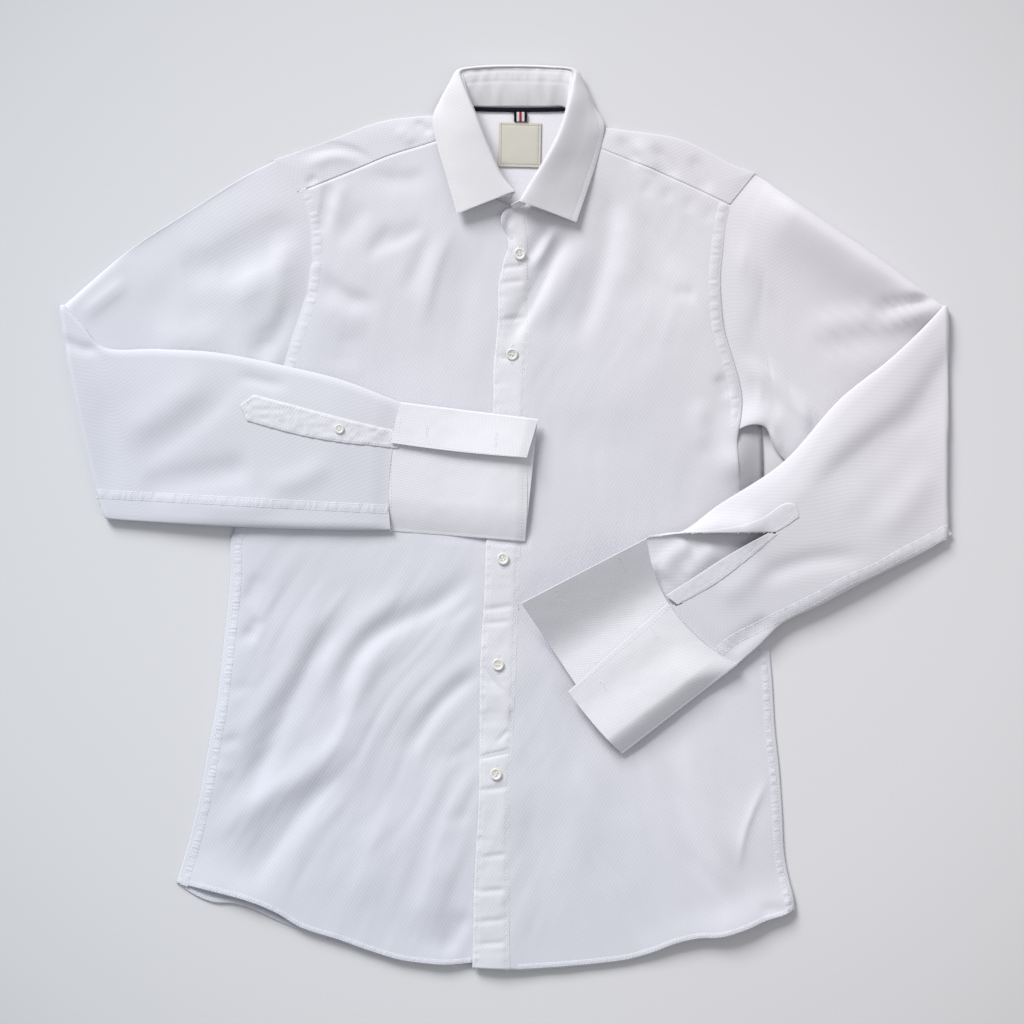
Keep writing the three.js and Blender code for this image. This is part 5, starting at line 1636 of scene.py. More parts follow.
class SleeveTube(Sheet):
    """The grid of a sleeve, which knows which part of it is the forearm's upper wall."""

    HALF_TURN = 8

    def __init__(self, points: Array, uv: Array, upper_rows: int, top: int) -> None:
        """Keeps the grid and where its parts start."""
        super().__init__(points, uv, around=True)
        self.upper_rows = upper_rows
        self.top = top

    def forearm_top(self) -> Sheet:
        """The forearm's upper wall as a sheet of its own."""
        start = self.upper_rows + self.HALF_TURN
        return Sheet(self.points[start:, : self.top], self.uv[start:, : self.top])


# Sleeve plackets and cuffs


@dataclass(frozen=True)
class Tab:
    """A flat strip sewn on a sleeve, spanned between its long edges and its two ends."""

    name: str
    lower: Points
    upper: Points
    start: Points
    end: Points
    lift: float = 0.9
    doubled: bool = True
    stitched: tuple[Points, ...] = ()


GAUNTLET_RIGHT = Tab(
    name="sleeve_placket_right",
    lower=((-229.5, 85.5), (-195.3, 76), (-165.2, 69.3), (-140.4, 65.7), (-120.6, 63.9), (-95.4, 61.2)),
    upper=((-223.8, 109.4), (-201.2, 103.5), (-171, 95.4), (-138.6, 86.9), (-97.2, 77.4), (-84.6, 74.7)),
    start=((-229.5, 85.5), (-236.2, 100), (-223.8, 109.4)),
    end=((-95.4, 61.2), (-90, 68.4), (-84.6, 74.7)),
    stitched=(
        ((-226.8, 88.2), (-195.3, 78.8), (-165.2, 72.2), (-140.4, 68.6), (-100.8, 64.8)),
        ((-223.2, 106.6), (-201.2, 100.6), (-171, 92.5), (-138.6, 84), (-100.8, 75.6)),
        ((-226.8, 88.2), (-232.7, 99.5), (-223.2, 106.6)),
        ((-200.2, 80.1), (-201.2, 100.6)),
        ((-175.5, 74.7), (-176.4, 94)),
    ),
)
GAUNTLET_LEFT = Tab(
    name="sleeve_placket_left",
    lower=((243, -13.5), (212.4, -14), (185.4, -14), (161.1, -14.4), (129.6, -18.4)),
    upper=(
        (263.5, 3.6), (260.1, 11.2), (252, 12.6), (229.5, -1.3), (206.1, -8.5), (176.4, -12.2),
        (144.9, -14.4), (129.6, -16.7),
    ),
    start=((243, -13.5), (253.8, -7.2), (263.5, -0.5), (263.5, 3.6)),
    end=((129.6, -18.4), (129.6, -17.6), (129.6, -16.7)),
    lift=0.3,
    doubled=False,
    stitched=(((244.8, -10.8), (260.1, 0.5)),),
)
UNDER_PLACKET_LEFT = Tab(
    name="under_placket_left",
    lower=((244.8, -15.3), (232.2, -26.1), (216, -39.6), (187.2, -61.2), (155.7, -78.8)),
    upper=((235.8, -14.4), (214.2, -26.1), (191.7, -39.6), (167.4, -55.8), (144.9, -70.2)),
    start=((244.8, -15.3), (240.3, -14.8), (235.8, -14.4)),
    end=((155.7, -78.8), (150.3, -74.7), (144.9, -70.2)),
    lift=0.45,
    doubled=False,
    stitched=(((237.6, -18.9), (212.4, -38.7), (181.8, -61.2), (154.8, -77.4)),),
)


def build_tab(tab: Tab, ground: Sheet, finishes: Finishes) -> Sheet:
    """Lays a strip on a sleeve.

    Args:
        tab: the strip's outline.
        ground: the upper wall that it lies on.
        finishes: the materials.

    Returns:
        The strip as a sheet.
    """
    rows, columns = 21, 130
    lower, upper = smooth_path(tab.lower, columns), smooth_path(tab.upper, columns)
    start, end = (resample(np.asarray(line, float), rows) for line in (tab.start, tab.end))
    plan = coons(lower, upper, start, end)
    flat, _ = ground.drape(plan.reshape(-1, 2))
    points = flat.reshape(rows, columns, 3)
    q = 2 * np.linspace(0, 1, rows)[:, None] - 1
    ripple = wobble(points[..., 0], points[..., 1], 4, 81) * 0.3 * min(1.0, tab.lift)
    points[..., 2] += tab.lift * (1 - 0.5 * np.abs(q) ** 8) + ripple
    sheet = Sheet(points)
    if sheet.normals()[..., 2].mean() < 0:
        sheet = Sheet(points[:, ::-1])
    finish = finishes.band if tab.doubled else finishes.sleeve
    made = dress(thicken(sheet.build(f"{tab.name}_cloth"), 0.7), finish, (tab.name,))
    stitches = Stitching(f"{tab.name}_stitches")
    for line in tab.stitched:
        stitches.along(smooth_path(line, 120), sheet)
    sewn = stitches.build(finishes.thread, "cotton")
    length = float(np.linalg.norm(np.diff(upper, axis=0), axis=1).sum()) * MM
    area = sheet.area() * MM * MM
    width = max(0.011, area / length)
    flat = (width, length)
    return sheet


@dataclass(frozen=True)
class CuffEnd:
    """One end of a flattened cuff: the ends of its cut and how far it bulges."""

    upper: tuple[float, float]
    lower: tuple[float, float]
    bulge: float


@dataclass(frozen=True)
class CuffCut:
    """A double cuff worn unfolded: where it leaves the sleeve and where it ends.

    stitched has a row for each line of stitches: the part it is on, its number of points and its path.
    holes has a row for each buttonhole: the part it is in and its two ends.
    """

    name: str
    seam: CuffEnd
    end: CuffEnd
    flat: tuple[float, float]
    stitched: tuple[tuple[str, int, Points], ...]
    holes: tuple[tuple[str, Points], ...]
    under: float = 10.4
    layer: float = 1.0
    thickness: float = 0.8


class Cuff:
    """A strip of doubled cloth that goes round the wrist; its stations run from the seam to the end."""

    STATIONS = 88
    TURN = 7
    LENGTH = 126

    def __init__(self, cut: CuffCut, finishes: Finishes) -> None:
        """Keeps the cut and the finishes."""
        self.cut = cut
        self.finishes = finishes
        places = np.concatenate([[0, 0.002], np.linspace(0.01, 0.99, self.STATIONS - 4), [0.998, 1]])
        self.strip = Sheet(self.settle(np.array([self.station(s) for s in places])))

    def line(self, s: float | Array, share: Array, bulge: float | None = None) -> Array:
        """Plan points across the cuff at station s, from its upper edge to its lower one."""
        seam, end = self.cut.seam, self.cut.end
        share = np.asarray(share, float)[:, None]
        s = np.asarray(s, float).reshape(-1, 1)
        a = np.array(seam.upper) * (1 - s) + np.array(end.upper) * s
        b = np.array(seam.lower) * (1 - s) + np.array(end.lower) * s
        bend = seam.bulge * (1 - s) + end.bulge * s if bulge is None else bulge
        run = b - a
        square = np.column_stack([-run[:, 1], run[:, 0]]) / np.linalg.norm(run, axis=1, keepdims=True)
        return a + run * share + square * bend * 4 * share * (1 - share)

    def turn(self, s: float, share: float, start: float, stop: float) -> Array:
        """Half a turn outwards at the end of the line, from one height to another."""
        ends = self.line(s, np.array([share, 1 - share]))
        toward = (ends[0] - ends[1]) / np.linalg.norm(ends[0] - ends[1])
        radius = abs(stop - start) / 2
        angle = np.linspace(0, np.pi, self.TURN + 2)[1:-1]
        plan = ends[0] + toward * (radius * np.sin(angle) - radius)[:, None]
        return np.column_stack([plan, (start + stop) / 2 + (start - stop) / 2 * np.cos(angle)])

    def level(self, s: float | Array, shares: Array, height: Array, bulge: float | None = None) -> Array:
        """Part of a station at a height."""
        plan = self.line(s, shares, bulge)
        return np.column_stack([plan, np.broadcast_to(height, len(plan))])

    def station(self, s: float) -> Array:
        """The strip's points at one station; each kind of cuff has its own."""
        raise NotImplementedError

    def settle(self, points: Array) -> Array:
        """Adds the slight unevenness of pressed, stitched cloth."""
        x, y = points[..., 0], points[..., 1]
        points[..., 2] += 0.22 * wobble(x, y, 30, 91) + 0.09 * wobble(x, y, 9, 92)
        number = np.arange(self.STATIONS)
        edge = np.minimum(number, number[::-1])[:, None] * 1.1
        points[..., 2] += 0.12 * wobble(x, y, 4.5, 93) * np.exp(-((edge / 4) ** 2))
        return points

    def finish(self) -> None:
        points = self.strip.points
        rows, columns = points.shape[:2]
        run = np.linspace(0, self.LENGTH, rows)[:, None] + np.zeros((1, columns))
        round_step = np.linalg.norm(np.diff(points, axis=1, prepend=points[:, :1]), axis=2)
        self.strip.uv = np.dstack([run, np.cumsum(round_step, axis=1)])
        piece = thicken(self.strip.build(f"{self.cut.name}_cloth"), self.cut.thickness, 0.0)
        piece = rounded(piece, 0.25)
        dress(piece, self.finishes.cuff, (self.cut.name,))

    def part(self, first: int, last: int | None) -> Sheet:
        """Some columns of the strip as their own sheet, facing up, lifted to the strip's outer face."""
        points = self.strip.points[:, first:last].copy()
        points[..., 2] += self.cut.thickness / 2
        sheet = Sheet(points)
        return Sheet(points[::-1]) if sheet.normals()[..., 2].mean() < 0 else sheet

    def sewn_parts(self) -> dict[str, Sheet]:
        """The parts that carry stitches, by name; each kind of cuff has its own."""
        raise NotImplementedError

    def build(self) -> None:
        """Makes the cuff with its edge stitches and buttonholes."""
        self.finish()
        parts = self.sewn_parts()
        stitches = Stitching(f"{self.cut.name}_stitches")
        for part, count, line in self.cut.stitched:
            stitches.along(smooth_path(line, count), parts[part])
        stitches.build(self.finishes.thread, "cotton")
        holes = Stitching(f"{self.cut.name}_buttonholes", HOLE_STITCH)
        for part, ends in self.cut.holes:
            holes.buttonhole(*ends, parts[part])
        holes.build(self.finishes.thread, "cotton")


class CuffRight(Cuff):
    """The closed cuff: its strip starts under the flap, goes round below, and comes back as the flap."""

    FLAP = 0.32
    PARTS = (54, 62, 38)

    def station(self, s: float) -> Array:
        """From under the flap down to the lower edge, under to the upper edge, and back as the flap."""
        under, layer = self.cut.under, self.cut.layer
        middle, over = under + layer, under + 2 * layer
        flap = self.FLAP + 0.012 * math.sin(3.0 * s)
        shares = np.linspace(0.16, 0.985, self.PARTS[0])
        inset = 1 - 0.046 * np.clip((0.985 - shares) / 0.665, 0, 1) ** 1.5
        first = self.level(s * inset, shares, middle - self.slope(shares))
        shares = np.linspace(0.97, 0.03, self.PARTS[1])
        second = self.level(s, shares, under - self.slope(shares))
        rise = np.linspace(0, 1, self.PARTS[2])
        lift = (2.7 + 2.5 * float(smoothstep(np.array(s), 0.0, 0.6))) * rise**1.15
        third = self.level(s * (1 - 0.048 * rise), np.linspace(0.015, flap, self.PARTS[2]), over + lift)
        drop = float(self.slope(np.array([0.985]))[0])
        below = self.turn(s, 1.0, middle - drop, under - drop)
        rows = np.vstack([first, below, second, self.turn(s, 0.0, under, over), third])
        place = np.array(s)
        rows[:, 2] += 3.2 * smoothstep(place, 0.35, 0.88) - 1.7 * smoothstep(place, 0.92, 1.02)
        return rows

    @staticmethod
    def slope(shares: Array) -> Array:
        """How far the lower part slopes down to its fold."""
        return 5.2 * np.clip((shares - 0.73) / 0.255, 0, 1) ** 1.8

    def sewn_parts(self) -> dict[str, Sheet]:
        """The flap and the lower part."""
        lower = self.PARTS[0]
        return {"flap": self.part(lower + self.PARTS[1] + 2 * self.TURN, None), "lower": self.part(0, lower)}


class CuffLeft(Cuff):
    """The open cuff: its strip runs from a lifted free edge down to the fold and back as the flap."""

    PARTS = (92, 70)
    FOLD = 20

    def station(self, s: float) -> Array:
        """From the lifted edge to the fold at the lower end, and back as the flap."""
        under = self.cut.under
        over = under + 2.0
        rise = 18 + 4.5 * s
        shares = np.concatenate([[0, 0.002], np.linspace(0.01, 0.985, self.PARTS[0] - 2)])
        edge = 0.035 * np.log1p(np.exp((0.3 - shares) / 0.035)) / 0.3
        height = under + rise * edge + self.bump(s, shares)
        bend = self.cut.seam.bulge * (1 - s) ** 1.2
        first = self.level(s, shares, height, bend)
        flap = 0.42 + 0.13 * s
        back = self.cut.seam.bulge * (1 - s) - 9 * s
        rest = np.linspace(0.985, flap, self.PARTS[1])
        lift = 0.8 * ((0.985 - rest) / (0.985 - flap)) ** 2 + self.bump(s, rest)
        third = self.level(s, rest, over + lift, back)
        drop = float(self.bump(s, np.array([0.985]))[0])
        return np.vstack([first, self.turn(s, 1.0, under + drop, over + drop), third])

    @staticmethod
    def bump(s: float, shares: Array) -> Array:
        """The round side of the closed half: it swells towards the middle and rolls down to the fold."""
        grown = float(smoothstep(np.array(s), 0.0, 0.3))
        swell = 2.2 * smoothstep(shares, 0.36, 0.57) + 3.8 * smoothstep(shares, 0.64, 0.89)
        return grown * (swell - 9.4 * np.clip((shares - 0.88) / 0.105, 0, 1) ** 1.7)

    def sewn_parts(self) -> dict[str, Sheet]:
        """The flap, and the inner part away from its fold."""
        inner = self.PARTS[0]
        return {"flap": self.part(inner + self.TURN, None), "inner": self.part(0, inner - self.FOLD)}


CUFF_RIGHT = CuffCut(
    name="cuff_right",
    seam=CuffEnd(upper=(-92.7, 102.6), lower=(-103, -12.2), bulge=-6),
    end=CuffEnd(upper=(30.1, 87.3), lower=(18.8, -21.6), bulge=0),
    flat=(0.126, 0.30),
    stitched=(
        ("flap", 60, ((-94.5, 68.9), (-73.8, 66.2), (-36, 59.4), (18.9, 53.6))),
        ("flap", 20, ((-92.7, 88.2), (-94.5, 69.3))),
        ("flap", 20, ((-99, 87.3), (-100.8, 70.2))),
        ("lower", 20, ((16.7, 47.7), (15.3, -17.1))),
        ("lower", 20, ((-100.8, 53.1), (-101.2, -6.3))),
    ),
    holes=(
        ("flap", ((-68, 81.9), (-69.3, 72))),
        ("flap", ((-6.3, 75.1), (-7.7, 63))),
    ),
)
CUFF_LEFT = CuffCut(
    name="cuff_left",
    seam=CuffEnd(upper=(126.9, -18.9), lower=(208.8, -132.3), bulge=-18),
    end=CuffEnd(upper=(15.3, -76.5), lower=(105.8, -212.4), bulge=0),
    flat=(0.126, 0.237),
    stitched=(
        ("flap", 60, ((60.3, -156.2), (98.1, -124.2), (138.6, -90), (147.6, -80.5))),
        ("flap", 60, ((147.6, -80.5), (155.7, -88.2), (190.8, -121.5), (204.3, -130.5))),
        ("inner", 60, ((19.8, -77.9), (39.6, -110.7), (61.2, -143.1))),
    ),
    holes=(
        ("flap", ((130.5, -97.2), (137.7, -108))),
        ("flap", ((86.4, -146.7), (92.7, -155.7))),
        ("inner", ((101.7, -36), (108, -47.7))),
        ("inner", ((46.8, -65.7), (51.3, -77.4))),
    ),
)


# Collar and what is sewn inside the neck


@dataclass(frozen=True)
class Station:
    """One section of the collar: the stand from seam to top, the fold, and the leaf down to its edge."""

    fold: tuple[float, float, float]
    middle: tuple[float, float, float]
    edge: tuple[float, float, float]
    top: tuple[float, float, float]
    seam: tuple[float, float, float]


COLLAR: tuple[Station, ...] = (
    Station((10, 291, 18.5), (-17, 281, 17), (-42, 271.3, 14.5), (10, 290, 16.5), (6, 285, 9)),
    Station((-3, 306, 18), (-28, 302, 16), (-51, 303, 11.5), (-1, 305, 16), (-19, 297, 5)),
    Station((-15, 332, 18), (-39, 331, 14.5), (-60, 334, 8.5), (-13, 331, 16), (-37, 321, 4.6)),
    Station((-24.5, 356, 18), (-46, 355, 13), (-64, 357, 6.5), (-22.5, 355, 16), (-42, 340, 4)),
    Station((-33.5, 378, 15.5), (-51, 379, 9.5), (-58.5, 373, 3.6), (-31.5, 377, 13.6), (-40, 355, 3.4)),
    Station((-39, 392, 12.5), (-47.5, 392, 8), (-51, 384, 2.6), (-36, 391, 11), (-35, 364, 2.6)),
    Station((-40, 400, 10), (-42.5, 401, 6), (-38, 380, 1.2), (-37, 398.5, 8.8), (-29, 369, 1.8)),
    Station((-22, 403.4, 9.2), (-22, 405, 4.4), (-20, 374, 0.9), (-21, 401.8, 7.8), (-18, 369, 1.8)),
    Station((11, 404.4, 8.8), (11, 406, 4.4), (11, 374, 0.9), (11, 402.8, 7.6), (11, 369, 1.8)),
    Station((42, 403.4, 9), (42, 405, 4.4), (42, 374, 0.9), (41, 401.8, 7.8), (38, 369, 1.8)),
    Station((63.5, 400, 10), (66, 401, 6), (62, 379, 1.2), (60.5, 398.5, 9), (53, 369, 1.8)),
    Station((62, 386, 14), (72.5, 387, 8), (76, 380, 2.6), (59, 385, 12.5), (60, 363, 2.6)),
    Station((58.5, 370, 18.5), (76, 371, 9.4), (83, 367, 3.4), (56.5, 369, 16.5), (67, 355, 3.6)),
    Station((53.5, 352, 21), (74, 351, 12.4), (90, 353, 4.6), (51.5, 352, 19), (71, 342, 4)),
    Station((46, 334, 22.4), (69, 331, 13.6), (88, 337, 4.8), (44, 334, 20.4), (68, 326, 4.6)),
    Station((36, 316, 22.2), (60, 312, 15), (82, 315, 6.2), (34, 316, 20.2), (60, 307, 5)),
    Station((24, 297, 21), (50, 291, 16.6), (74.5, 292, 8.6), (22, 297, 19), (45, 290, 6)),
    Station((14, 282, 21.5), (40, 273, 17.4), (65, 264, 11.5), (14, 283, 19), (20, 281, 9)),
)
STAND_END: tuple[tuple[float, float, float], ...] = ((6, 280, 12), (8, 276, 7.6))
LEAF_STITCHES: tuple[Points, Points] = (
    ((4.5, 287.6), (-15.3, 283.1), (-38.7, 276.3), (-49.5, 306.9), (-58.7, 337.5), (-59.9, 357.3)),
    ((15.3, 283.5), (40.5, 276.3), (63, 269.5), (72, 297.9), (81.4, 324.9), (86, 351.9)),
)
STAND_STITCHES: tuple[Points, Points] = (
    ((-36.9, 392.4), (-12.6, 393.8), (10.8, 394.2), (36.9, 393.8), (60.3, 392.4)),
    ((-27, 371.7), (10.8, 372.2), (54.9, 371.7)),
)
LABEL_CORNERS: Points = ((-5.4, 315), (32.9, 314.1), (33.8, 354.6), (-4.5, 355.5))
LABEL_STITCHES: Points = ((-2.7, 317.5), (30.6, 316.8), (31.3, 351.9), (-2.2, 352.8))
LEAF_CREASES: tuple[Crease, ...] = (
    Crease(((-30.6, 366.3), (-46.8, 330.3), (-37.8, 285.3)), 16, 0.6),
    Crease(((63.9, 357.3), (77.4, 321.3), (59.4, 280.8)), 16, 0.6),
)


class Collar:
    """The turn-down collar: a stand, a leaf folded over it, and the trim inside the neck."""

    WINGS = (slice(0, 92), slice(128, 230))
    WING_WIDTH = 40
    NECK = slice(70, 140)
    TAPE = (-29.7, 57.6)
    TAPE_LOW = 364.1
    TAPE_WIDTH = 3.9
    LOOP = (9, 20.7)
    LOOP_TOP = 364
    LOOP_LOW = 355.7

    def __init__(self, finishes: Finishes) -> None:
        """Keeps the finishes."""
        self.finishes = finishes

    @staticmethod
    def table(*names: str) -> Array:
        """The named points of every station, one station a row."""
        return np.array([[v for n in names for v in getattr(s, n)] for s in COLLAR], float)

    def build_leaf(self) -> None:
        """Makes the leaf, which rolls over the stand's top."""
        rows, columns = 230, 46
        stations = smooth_path(self.table("top", "fold", "middle", "edge"), rows)
        lines = []
        for row in stations:
            top, fold, middle, edge = row.reshape(4, 3)
            crest = fold + np.array([0, 0, 0.4])
            tucked = top - np.array([0, 0, 0.8])
            lines.append(smooth_path(np.array([tucked, crest, middle, edge]), columns))
        points = np.array(lines)[:, ::-1]
        x, y = points[..., 0], points[..., 1]
        uneven = 0.25 * wobble(x, y, 28, 101)
        points[..., 2] += relief(LEAF_CREASES, x, y) + uneven + 0.05 * wobble(x, y, 8, 102)
        run = np.linalg.norm(np.diff(points, axis=1, prepend=points[:, :1]), axis=2).cumsum(axis=1)
        groove = np.exp(-(((run - 5.0) / 0.8) ** 2))
        points[..., 2] -= 0.22 * groove
        along = np.linalg.norm(np.diff(points, axis=0, prepend=points[:1]), axis=2).cumsum(axis=0)
        leaf = Sheet(points, np.dstack([along, run]))
        piece = rounded(thicken(leaf.build("collar_leaf_cloth"), 1.0), 0.3)
        dress(piece, self.finishes.collar, ("collar_leaf",))
        stitches = Stitching("collar_stitches", EDGE_STITCH)
        for wing, line in zip(self.WINGS, LEAF_STITCHES):
            stitches.along(smooth_path(line, 120), Sheet(leaf.points[wing, : self.WING_WIDTH]))
        stitches.build(self.finishes.thread, "cotton")

    def build_stand(self) -> None:
        """Makes the stand, whose inside shows behind the neck."""
        rows, columns = 210, 24
        table = self.table("top", "seam")
        table = np.vstack([table, [v for p in STAND_END for v in p]])
        stations = smooth_path(table, rows)
        share = np.linspace(0, 1, columns)[None, :, None]
        points = stations[:, None, :3] * (1 - share) + stations[:, None, 3:] * share
        x, y = points[..., 0], points[..., 1]
        q = share[..., 0]
        bow = 1.2 * np.sin(np.pi * q)
        pucker = 0.4 * wobble(x, 0.3 * y, 2.2, 111) * np.exp(-(((q - 0.2) / 0.12) ** 2))
        line = -0.5 * np.exp(-(((q - 0.05) / 0.04) ** 2)) - 0.3 * np.exp(-(((q - 0.34) / 0.03) ** 2))
        points[..., 2] += bow + pucker + line + 0.4 * wobble(x, 0.35 * y, 6, 112)
        piece = thicken(Sheet(points).build("collar_stand_cloth"), 0.9, 0.0)
        dress(piece, self.finishes.stand, ("collar_stand",))
        stitches = Stitching("stand_stitches", NECK_STITCH)
        for line in STAND_STITCHES:
            stitches.along(smooth_path(line, 60), Sheet(points[self.NECK]))
        stitches.build(self.finishes.thread, "cotton")

    def build_trim(self) -> None:
        """Makes the tape over the neck seam, the hanging loop and the label."""
        x = np.linspace(*self.TAPE, 90)
        q = np.linspace(0, 1, 9)
        bend = 0.8 * ((x - x.mean()) / (x[-1] - x.mean())) ** 2
        y = self.TAPE_LOW + bend[:, None] + q[None] * self.TAPE_WIDTH
        z = 2.15 + 0.25 * (1 - (2 * q[None] - 1) ** 4) + 0.12 * wobble(x[:, None], y, 9, 121)
        points = np.dstack([np.broadcast_to(x[:, None], y.shape), y, z])[:, ::-1]
        uv = np.dstack([points[..., 0], np.broadcast_to(q[None, ::-1] / MM, y.shape)])
        piece = thicken(Sheet(points, uv).build("neck_tape_ribbon"), 0.35)
        dress(piece, self.finishes.tape, ("neck_tape",))
        self.build_loop()
        self.build_label()

    def build_loop(self) -> None:
        """Makes the hanging loop: a striped ribbon folded on itself, with its fold towards the label."""
        rows, columns = 48, 30
        x = np.linspace(*self.LOOP, columns)
        top, low = self.LOOP_TOP, self.LOOP_LOW
        section = [(top, 1.9), (low + 1.2, 1.9)]
        turn = np.linspace(0, math.pi, 9)
        section += [(low + 0.6 - 0.6 * math.sin(a), 2.55 - 0.65 * math.cos(a)) for a in turn]
        section += [(low + 1.2, 3.2), (top, 3.0)]
        path = resample(np.array(section), rows)
        run = np.linspace(0, 20, rows)
        points = np.zeros((rows, columns, 3))
        points[..., 0] = x[None]
        points[..., 1] = path[:, 0:1]
        points[..., 2] = path[:, 1:2] + 0.05 * wobble(points[..., 0], points[..., 1], 5, 131)
        share = np.linspace(0, 1, columns) / MM
        uv = np.dstack([np.broadcast_to(v, (rows, columns)) for v in (run[:, None], share)])
        piece = thicken(Sheet(points, uv).build("hanger_loop_ribbon"), 0.35, 1.0)
        dress(piece, self.finishes.loop, ("hanger_loop",))

    def build_label(self) -> None:
        """Makes the blank label, sewn down round its border with dark thread."""
        corners = np.array(LABEL_CORNERS, float)
        u, v = np.meshgrid(np.linspace(0, 1, 60), np.linspace(0, 1, 60))
        plan = (
            corners[0] * ((1 - u) * (1 - v))[..., None]
            + corners[1] * (u * (1 - v))[..., None]
            + corners[2] * (u * v)[..., None]
            + corners[3] * ((1 - u) * v)[..., None]
        )
        rim = np.minimum(np.minimum(u, 1 - u), np.minimum(v, 1 - v)) * 40
        puff = 0.35 * (1 - np.exp(-rim / 5)) - 0.2 * np.exp(-(((rim - 2.6) / 0.7) ** 2))
        z = 1.9 + puff + 0.12 * wobble(plan[..., 0], plan[..., 1], 11, 141)
        sheet = Sheet(np.dstack([plan, z]))
        piece = thicken(sheet.build("label_satin"), 0.4)
        dress(piece, self.finishes.label, ("label",))
        stitches = Stitching("label_stitches", Stitch(1.5, 2.2, 0.16, 0.1))
        for line in zip(LABEL_STITCHES, LABEL_STITCHES[1:] + LABEL_STITCHES[:1]):
            stitches.along(np.array(line, float), sheet)
        stitches.build(self.finishes.dark_thread, "label_cloth")

    def build(self) -> None:
        """Makes every piece of the collar."""
        self.build_stand()
        self.build_leaf()
        self.build_trim()


# Buttons


@dataclass(frozen=True)
class ButtonCut:
    """A round four-hole button: a raised rim, a dished middle and four holes.

    inner and outer are the last radius and the first one of its two sets of rings, with their numbers.
    """

    radius: float = 5.3
    height: float = 2.1
    rim: float = 1.35
    dish: float = 0.55
    hole: float = 0.62
    spacing: float = 1.2
    inner: tuple[float, int] = (3.0, 22)
    outer: tuple[float, int] = (3.2, 14)

    def top(self, x: Array, y: Array) -> Array:
        """The height of the upper face: the rim is a half circle across, and each hole is a pit."""
        r = np.hypot(x, y)
        edge = np.clip((self.radius - r) / 0.7, 0, 1)
        z = self.height - 0.7 * (1 - np.sqrt(1 - (1 - edge) ** 2))
        z = z - self.dish * (1 - smoothstep(r, self.radius - self.rim - 0.9, self.radius - self.rim))
        for sx in (-1, 1):
            for sy in (-1, 1):
                away = np.hypot(x - sx * self.spacing, y - sy * self.spacing)
                z = z - 1.1 * (1 - smoothstep(away, self.hole * 0.75, self.hole * 1.15))
        return z


class Buttons:
    """The buttons with their threads and buttonholes."""

    FRONT = ((14, 236.2), (7.2, 146.2), (2.7, 54.9), (-0.9, -37.4), (-5.4, -132.3), (-7.2, -230.4))
    SLEEVE = (-147.2, 78.8)

    def __init__(self, finishes: Finishes) -> None:
        """Keeps the finishes."""
        self.finishes = finishes
        self.threads = Stitching("button_threads", Stitch(2.6, 2.4, 0.24, 0.0))

    def place(self, name: str, cut: ButtonCut, at: tuple[float, float], ground: Sheet, turn: float) -> None:
        """Makes one button on the cloth.

        Args:
            name: the CAD node that it stands for.
            cut: its sizes.
            at: its plan place.
            ground: the sheet that it is sewn to.
            turn: how far it is turned, in radians.
        """
        base, normal = ground.drape(np.array([at]))
        segments = 72
        dish, rim = np.linspace(0.02, *cut.inner), np.linspace(cut.outer[0], cut.radius, cut.outer[1])
        radii = np.concatenate([dish, rim])
        angle = np.arange(segments) * 2 * np.pi / segments
        x, y = radii[:, None] * np.cos(angle), radii[:, None] * np.sin(angle)
        top = np.dstack([x, y, cut.top(x, y)])
        edge = cut.radius
        side = ((edge, 0.9), (edge - 0.25, 0.5), (edge - 0.9, 0.25), (1.0, 0.25), (0.02, 0.25))
        circle = np.column_stack([np.cos(angle), np.sin(angle)])
        rest = [np.column_stack([r * circle, np.full(segments, z)]) for r, z in side]
        grid = np.concatenate([top, np.array(rest)])[::-1]
        c, s = math.cos(turn), math.sin(turn)
        grid = np.dstack(
            [grid[..., 0] * c - grid[..., 1] * s, grid[..., 0] * s + grid[..., 1] * c, grid[..., 2]],
        )
        up = normal[0] * 0.6 + np.array([0, 0, 0.4])
        up /= np.linalg.norm(up)
        side_x = np.cross([0, 1, 0], up)
        side_x /= np.linalg.norm(side_x)
        side_y = np.cross(up, side_x)
        axes = np.array([side_x, side_y, up])
        points = grid.reshape(-1, 3) @ axes + base[0]
        faces = quads_of(len(grid), segments, around=True)
        piece = mesh_object(f"{name}_moulded", points, faces)
        dress(piece, self.finishes.button, (name,))
        depth = cut.height - cut.dish
        for sy in (-1, 1):
            local = cut.spacing * np.array([[-1, sy], [0, sy], [1, sy]]) @ np.array([[c, s], [-s, c]])
            for shift in (-0.14, 0.14):
                middle = local[1] + shift * np.array([-s, c])
                centre = np.append(middle, depth + 0.1) @ axes + base[0]
                along = (np.append(local[2] - local[0], 0) @ axes)[None]
                along /= np.linalg.norm(along)
                self.threads.put(centre[None], up[None], along)

    def build(self, placket: Sheet, gauntlet: Sheet) -> None:
        """Makes all the buttons."""
        holes = Stitching("placket_buttonholes", Stitch(1.1, 0.55, 0.16, 0.1))
        for number, at in enumerate(self.FRONT):
            self.place(f"button_{number + 1}", ButtonCut(), at, placket, 0.2 + 1.1 * number)
            holes.buttonhole((at[0], at[1] - 8.2), (at[0] + 0.6, at[1] + 8.2), placket)
        small = ButtonCut(
            4.3, 1.8, rim=1.0, dish=0.4, hole=0.5, spacing=0.95, inner=(2.3, 20), outer=(2.45, 12),
        )
        self.place("button_sleeve_right", small, self.SLEEVE, gauntlet, 0.4)
        holes.build(self.finishes.thread, "cotton")
        self.threads.build(self.finishes.thread, "button")


# Studio


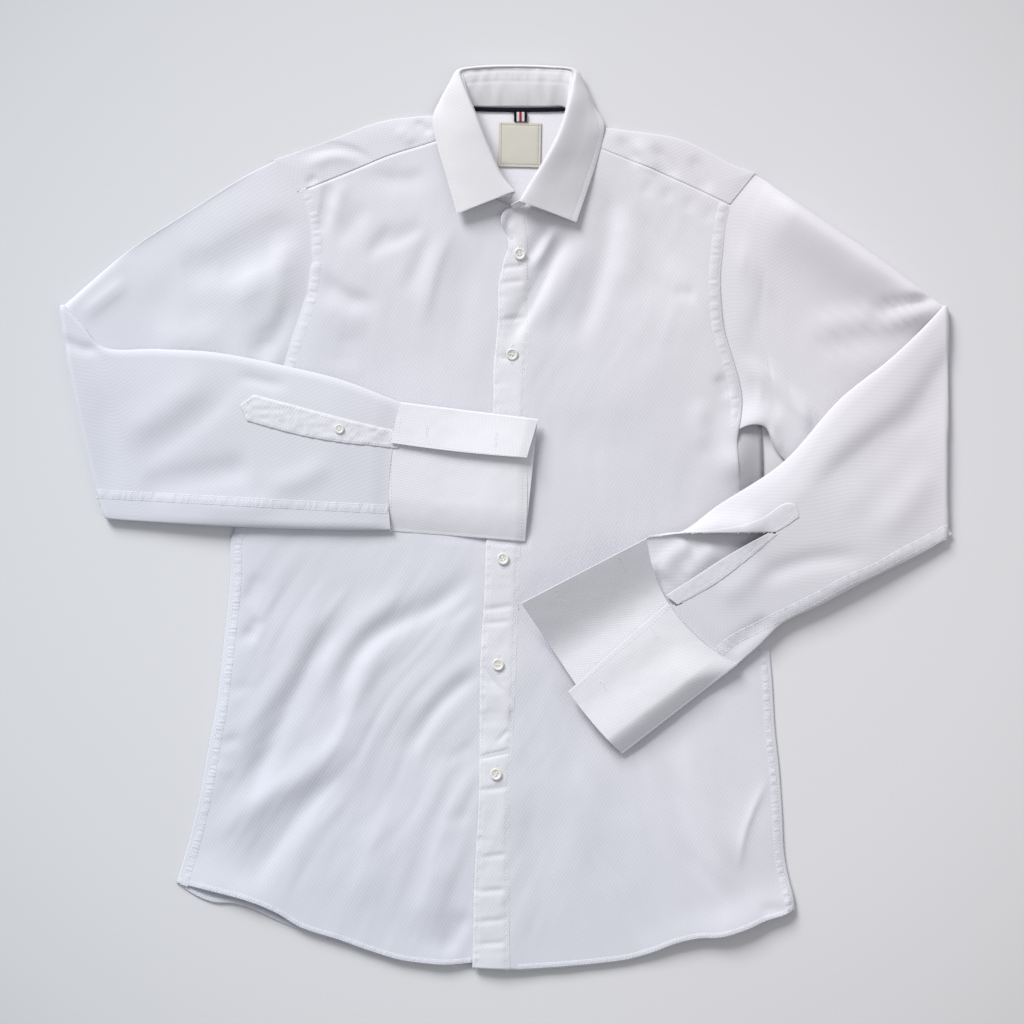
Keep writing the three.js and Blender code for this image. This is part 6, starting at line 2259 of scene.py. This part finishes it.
class Studio:
    """A pale floor, soft light from the upper left and an overhead camera."""

    WIDTH = 0.9216
    SENSOR = 36.0
    CENTRE = (0.0072, 0.0045)

    def __init__(self, finishes: Finishes) -> None:
        """Keeps the finishes."""
        self.finishes = finishes

    def area(self, name: str, place: tuple, size: float, power: float, colour: tuple) -> None:
        """Adds a square soft light aimed at the shirt's middle."""
        data = bpy.data.lights.new(name, "AREA")
        data.size = size
        data.energy = power
        data.color = colour
        lamp = bpy.data.objects.new(name, data)
        lamp.location = place
        aim = -np.array(place)
        lamp.rotation_euler = (
            math.atan2(math.hypot(aim[0], aim[1]), -aim[2]),
            0,
            math.atan2(aim[1], aim[0]) - math.pi / 2,
        )
        bpy.context.scene.collection.objects.link(lamp)

    def build(self) -> None:
        """Makes the floor, lights, world and camera."""
        size = 4.0
        mesh = bpy.data.meshes.new("floor")
        half = size / 2
        mesh.from_pydata(
            [(-half, -half, 0), (half, -half, 0), (half, half, 0), (-half, half, 0)], [], [(0, 1, 2, 3)],
        )
        floor = bpy.data.objects.new("floor", mesh)
        floor.data.materials.append(self.finishes.floor)
        bpy.context.scene.collection.objects.link(floor)
        self.area("window", (-6.4, 11.1, 7.6), 6.2, 2700, (0.99, 0.99, 1.0))
        self.area("fill", (2.6, -0.6, 2.4), 2.4, 14, (1.0, 0.95, 0.94))
        world = bpy.data.worlds.new("world")
        world.use_nodes = True
        background = world.node_tree.nodes["Background"]
        background.inputs["Color"].default_value = (0.93, 0.955, 1.0, 1)
        background.inputs["Strength"].default_value = 0.42
        scene = bpy.context.scene
        scene.world = world
        scene.view_settings.view_transform = "Standard"
        camera = bpy.data.cameras.new("camera")
        camera.sensor_width = self.SENSOR
        camera.lens = self.SENSOR * CAMERA_HEIGHT / self.WIDTH
        camera.dof.use_dof = False
        holder = bpy.data.objects.new("camera", camera)
        holder.location = (*self.CENTRE, CAMERA_HEIGHT)
        scene.collection.objects.link(holder)
        scene.camera = holder


# The whole shirt


def main() -> None:
    """Builds the scene."""
    logging.basicConfig(level=logging.INFO, format="%(message)s")
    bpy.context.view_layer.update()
    finishes = Finishes()
    Studio(finishes).build()
    body = Body(finishes)
    body.build()
    right = Sleeve(SLEEVE_RIGHT, finishes)
    left = Sleeve(SLEEVE_LEFT, finishes)
    right.build()
    left.build()
    gauntlet = build_tab(GAUNTLET_RIGHT, right.tube.forearm_top(), finishes)
    build_tab(GAUNTLET_LEFT, left.tube.forearm_top(), finishes)
    build_tab(UNDER_PLACKET_LEFT, left.tube.forearm_top(), finishes)
    CuffRight(CUFF_RIGHT, finishes).build()
    CuffLeft(CUFF_LEFT, finishes).build()
    Collar(finishes).build()
    Buttons(finishes).build(body.placket, gauntlet)


if __name__ == "__main__":
    main()
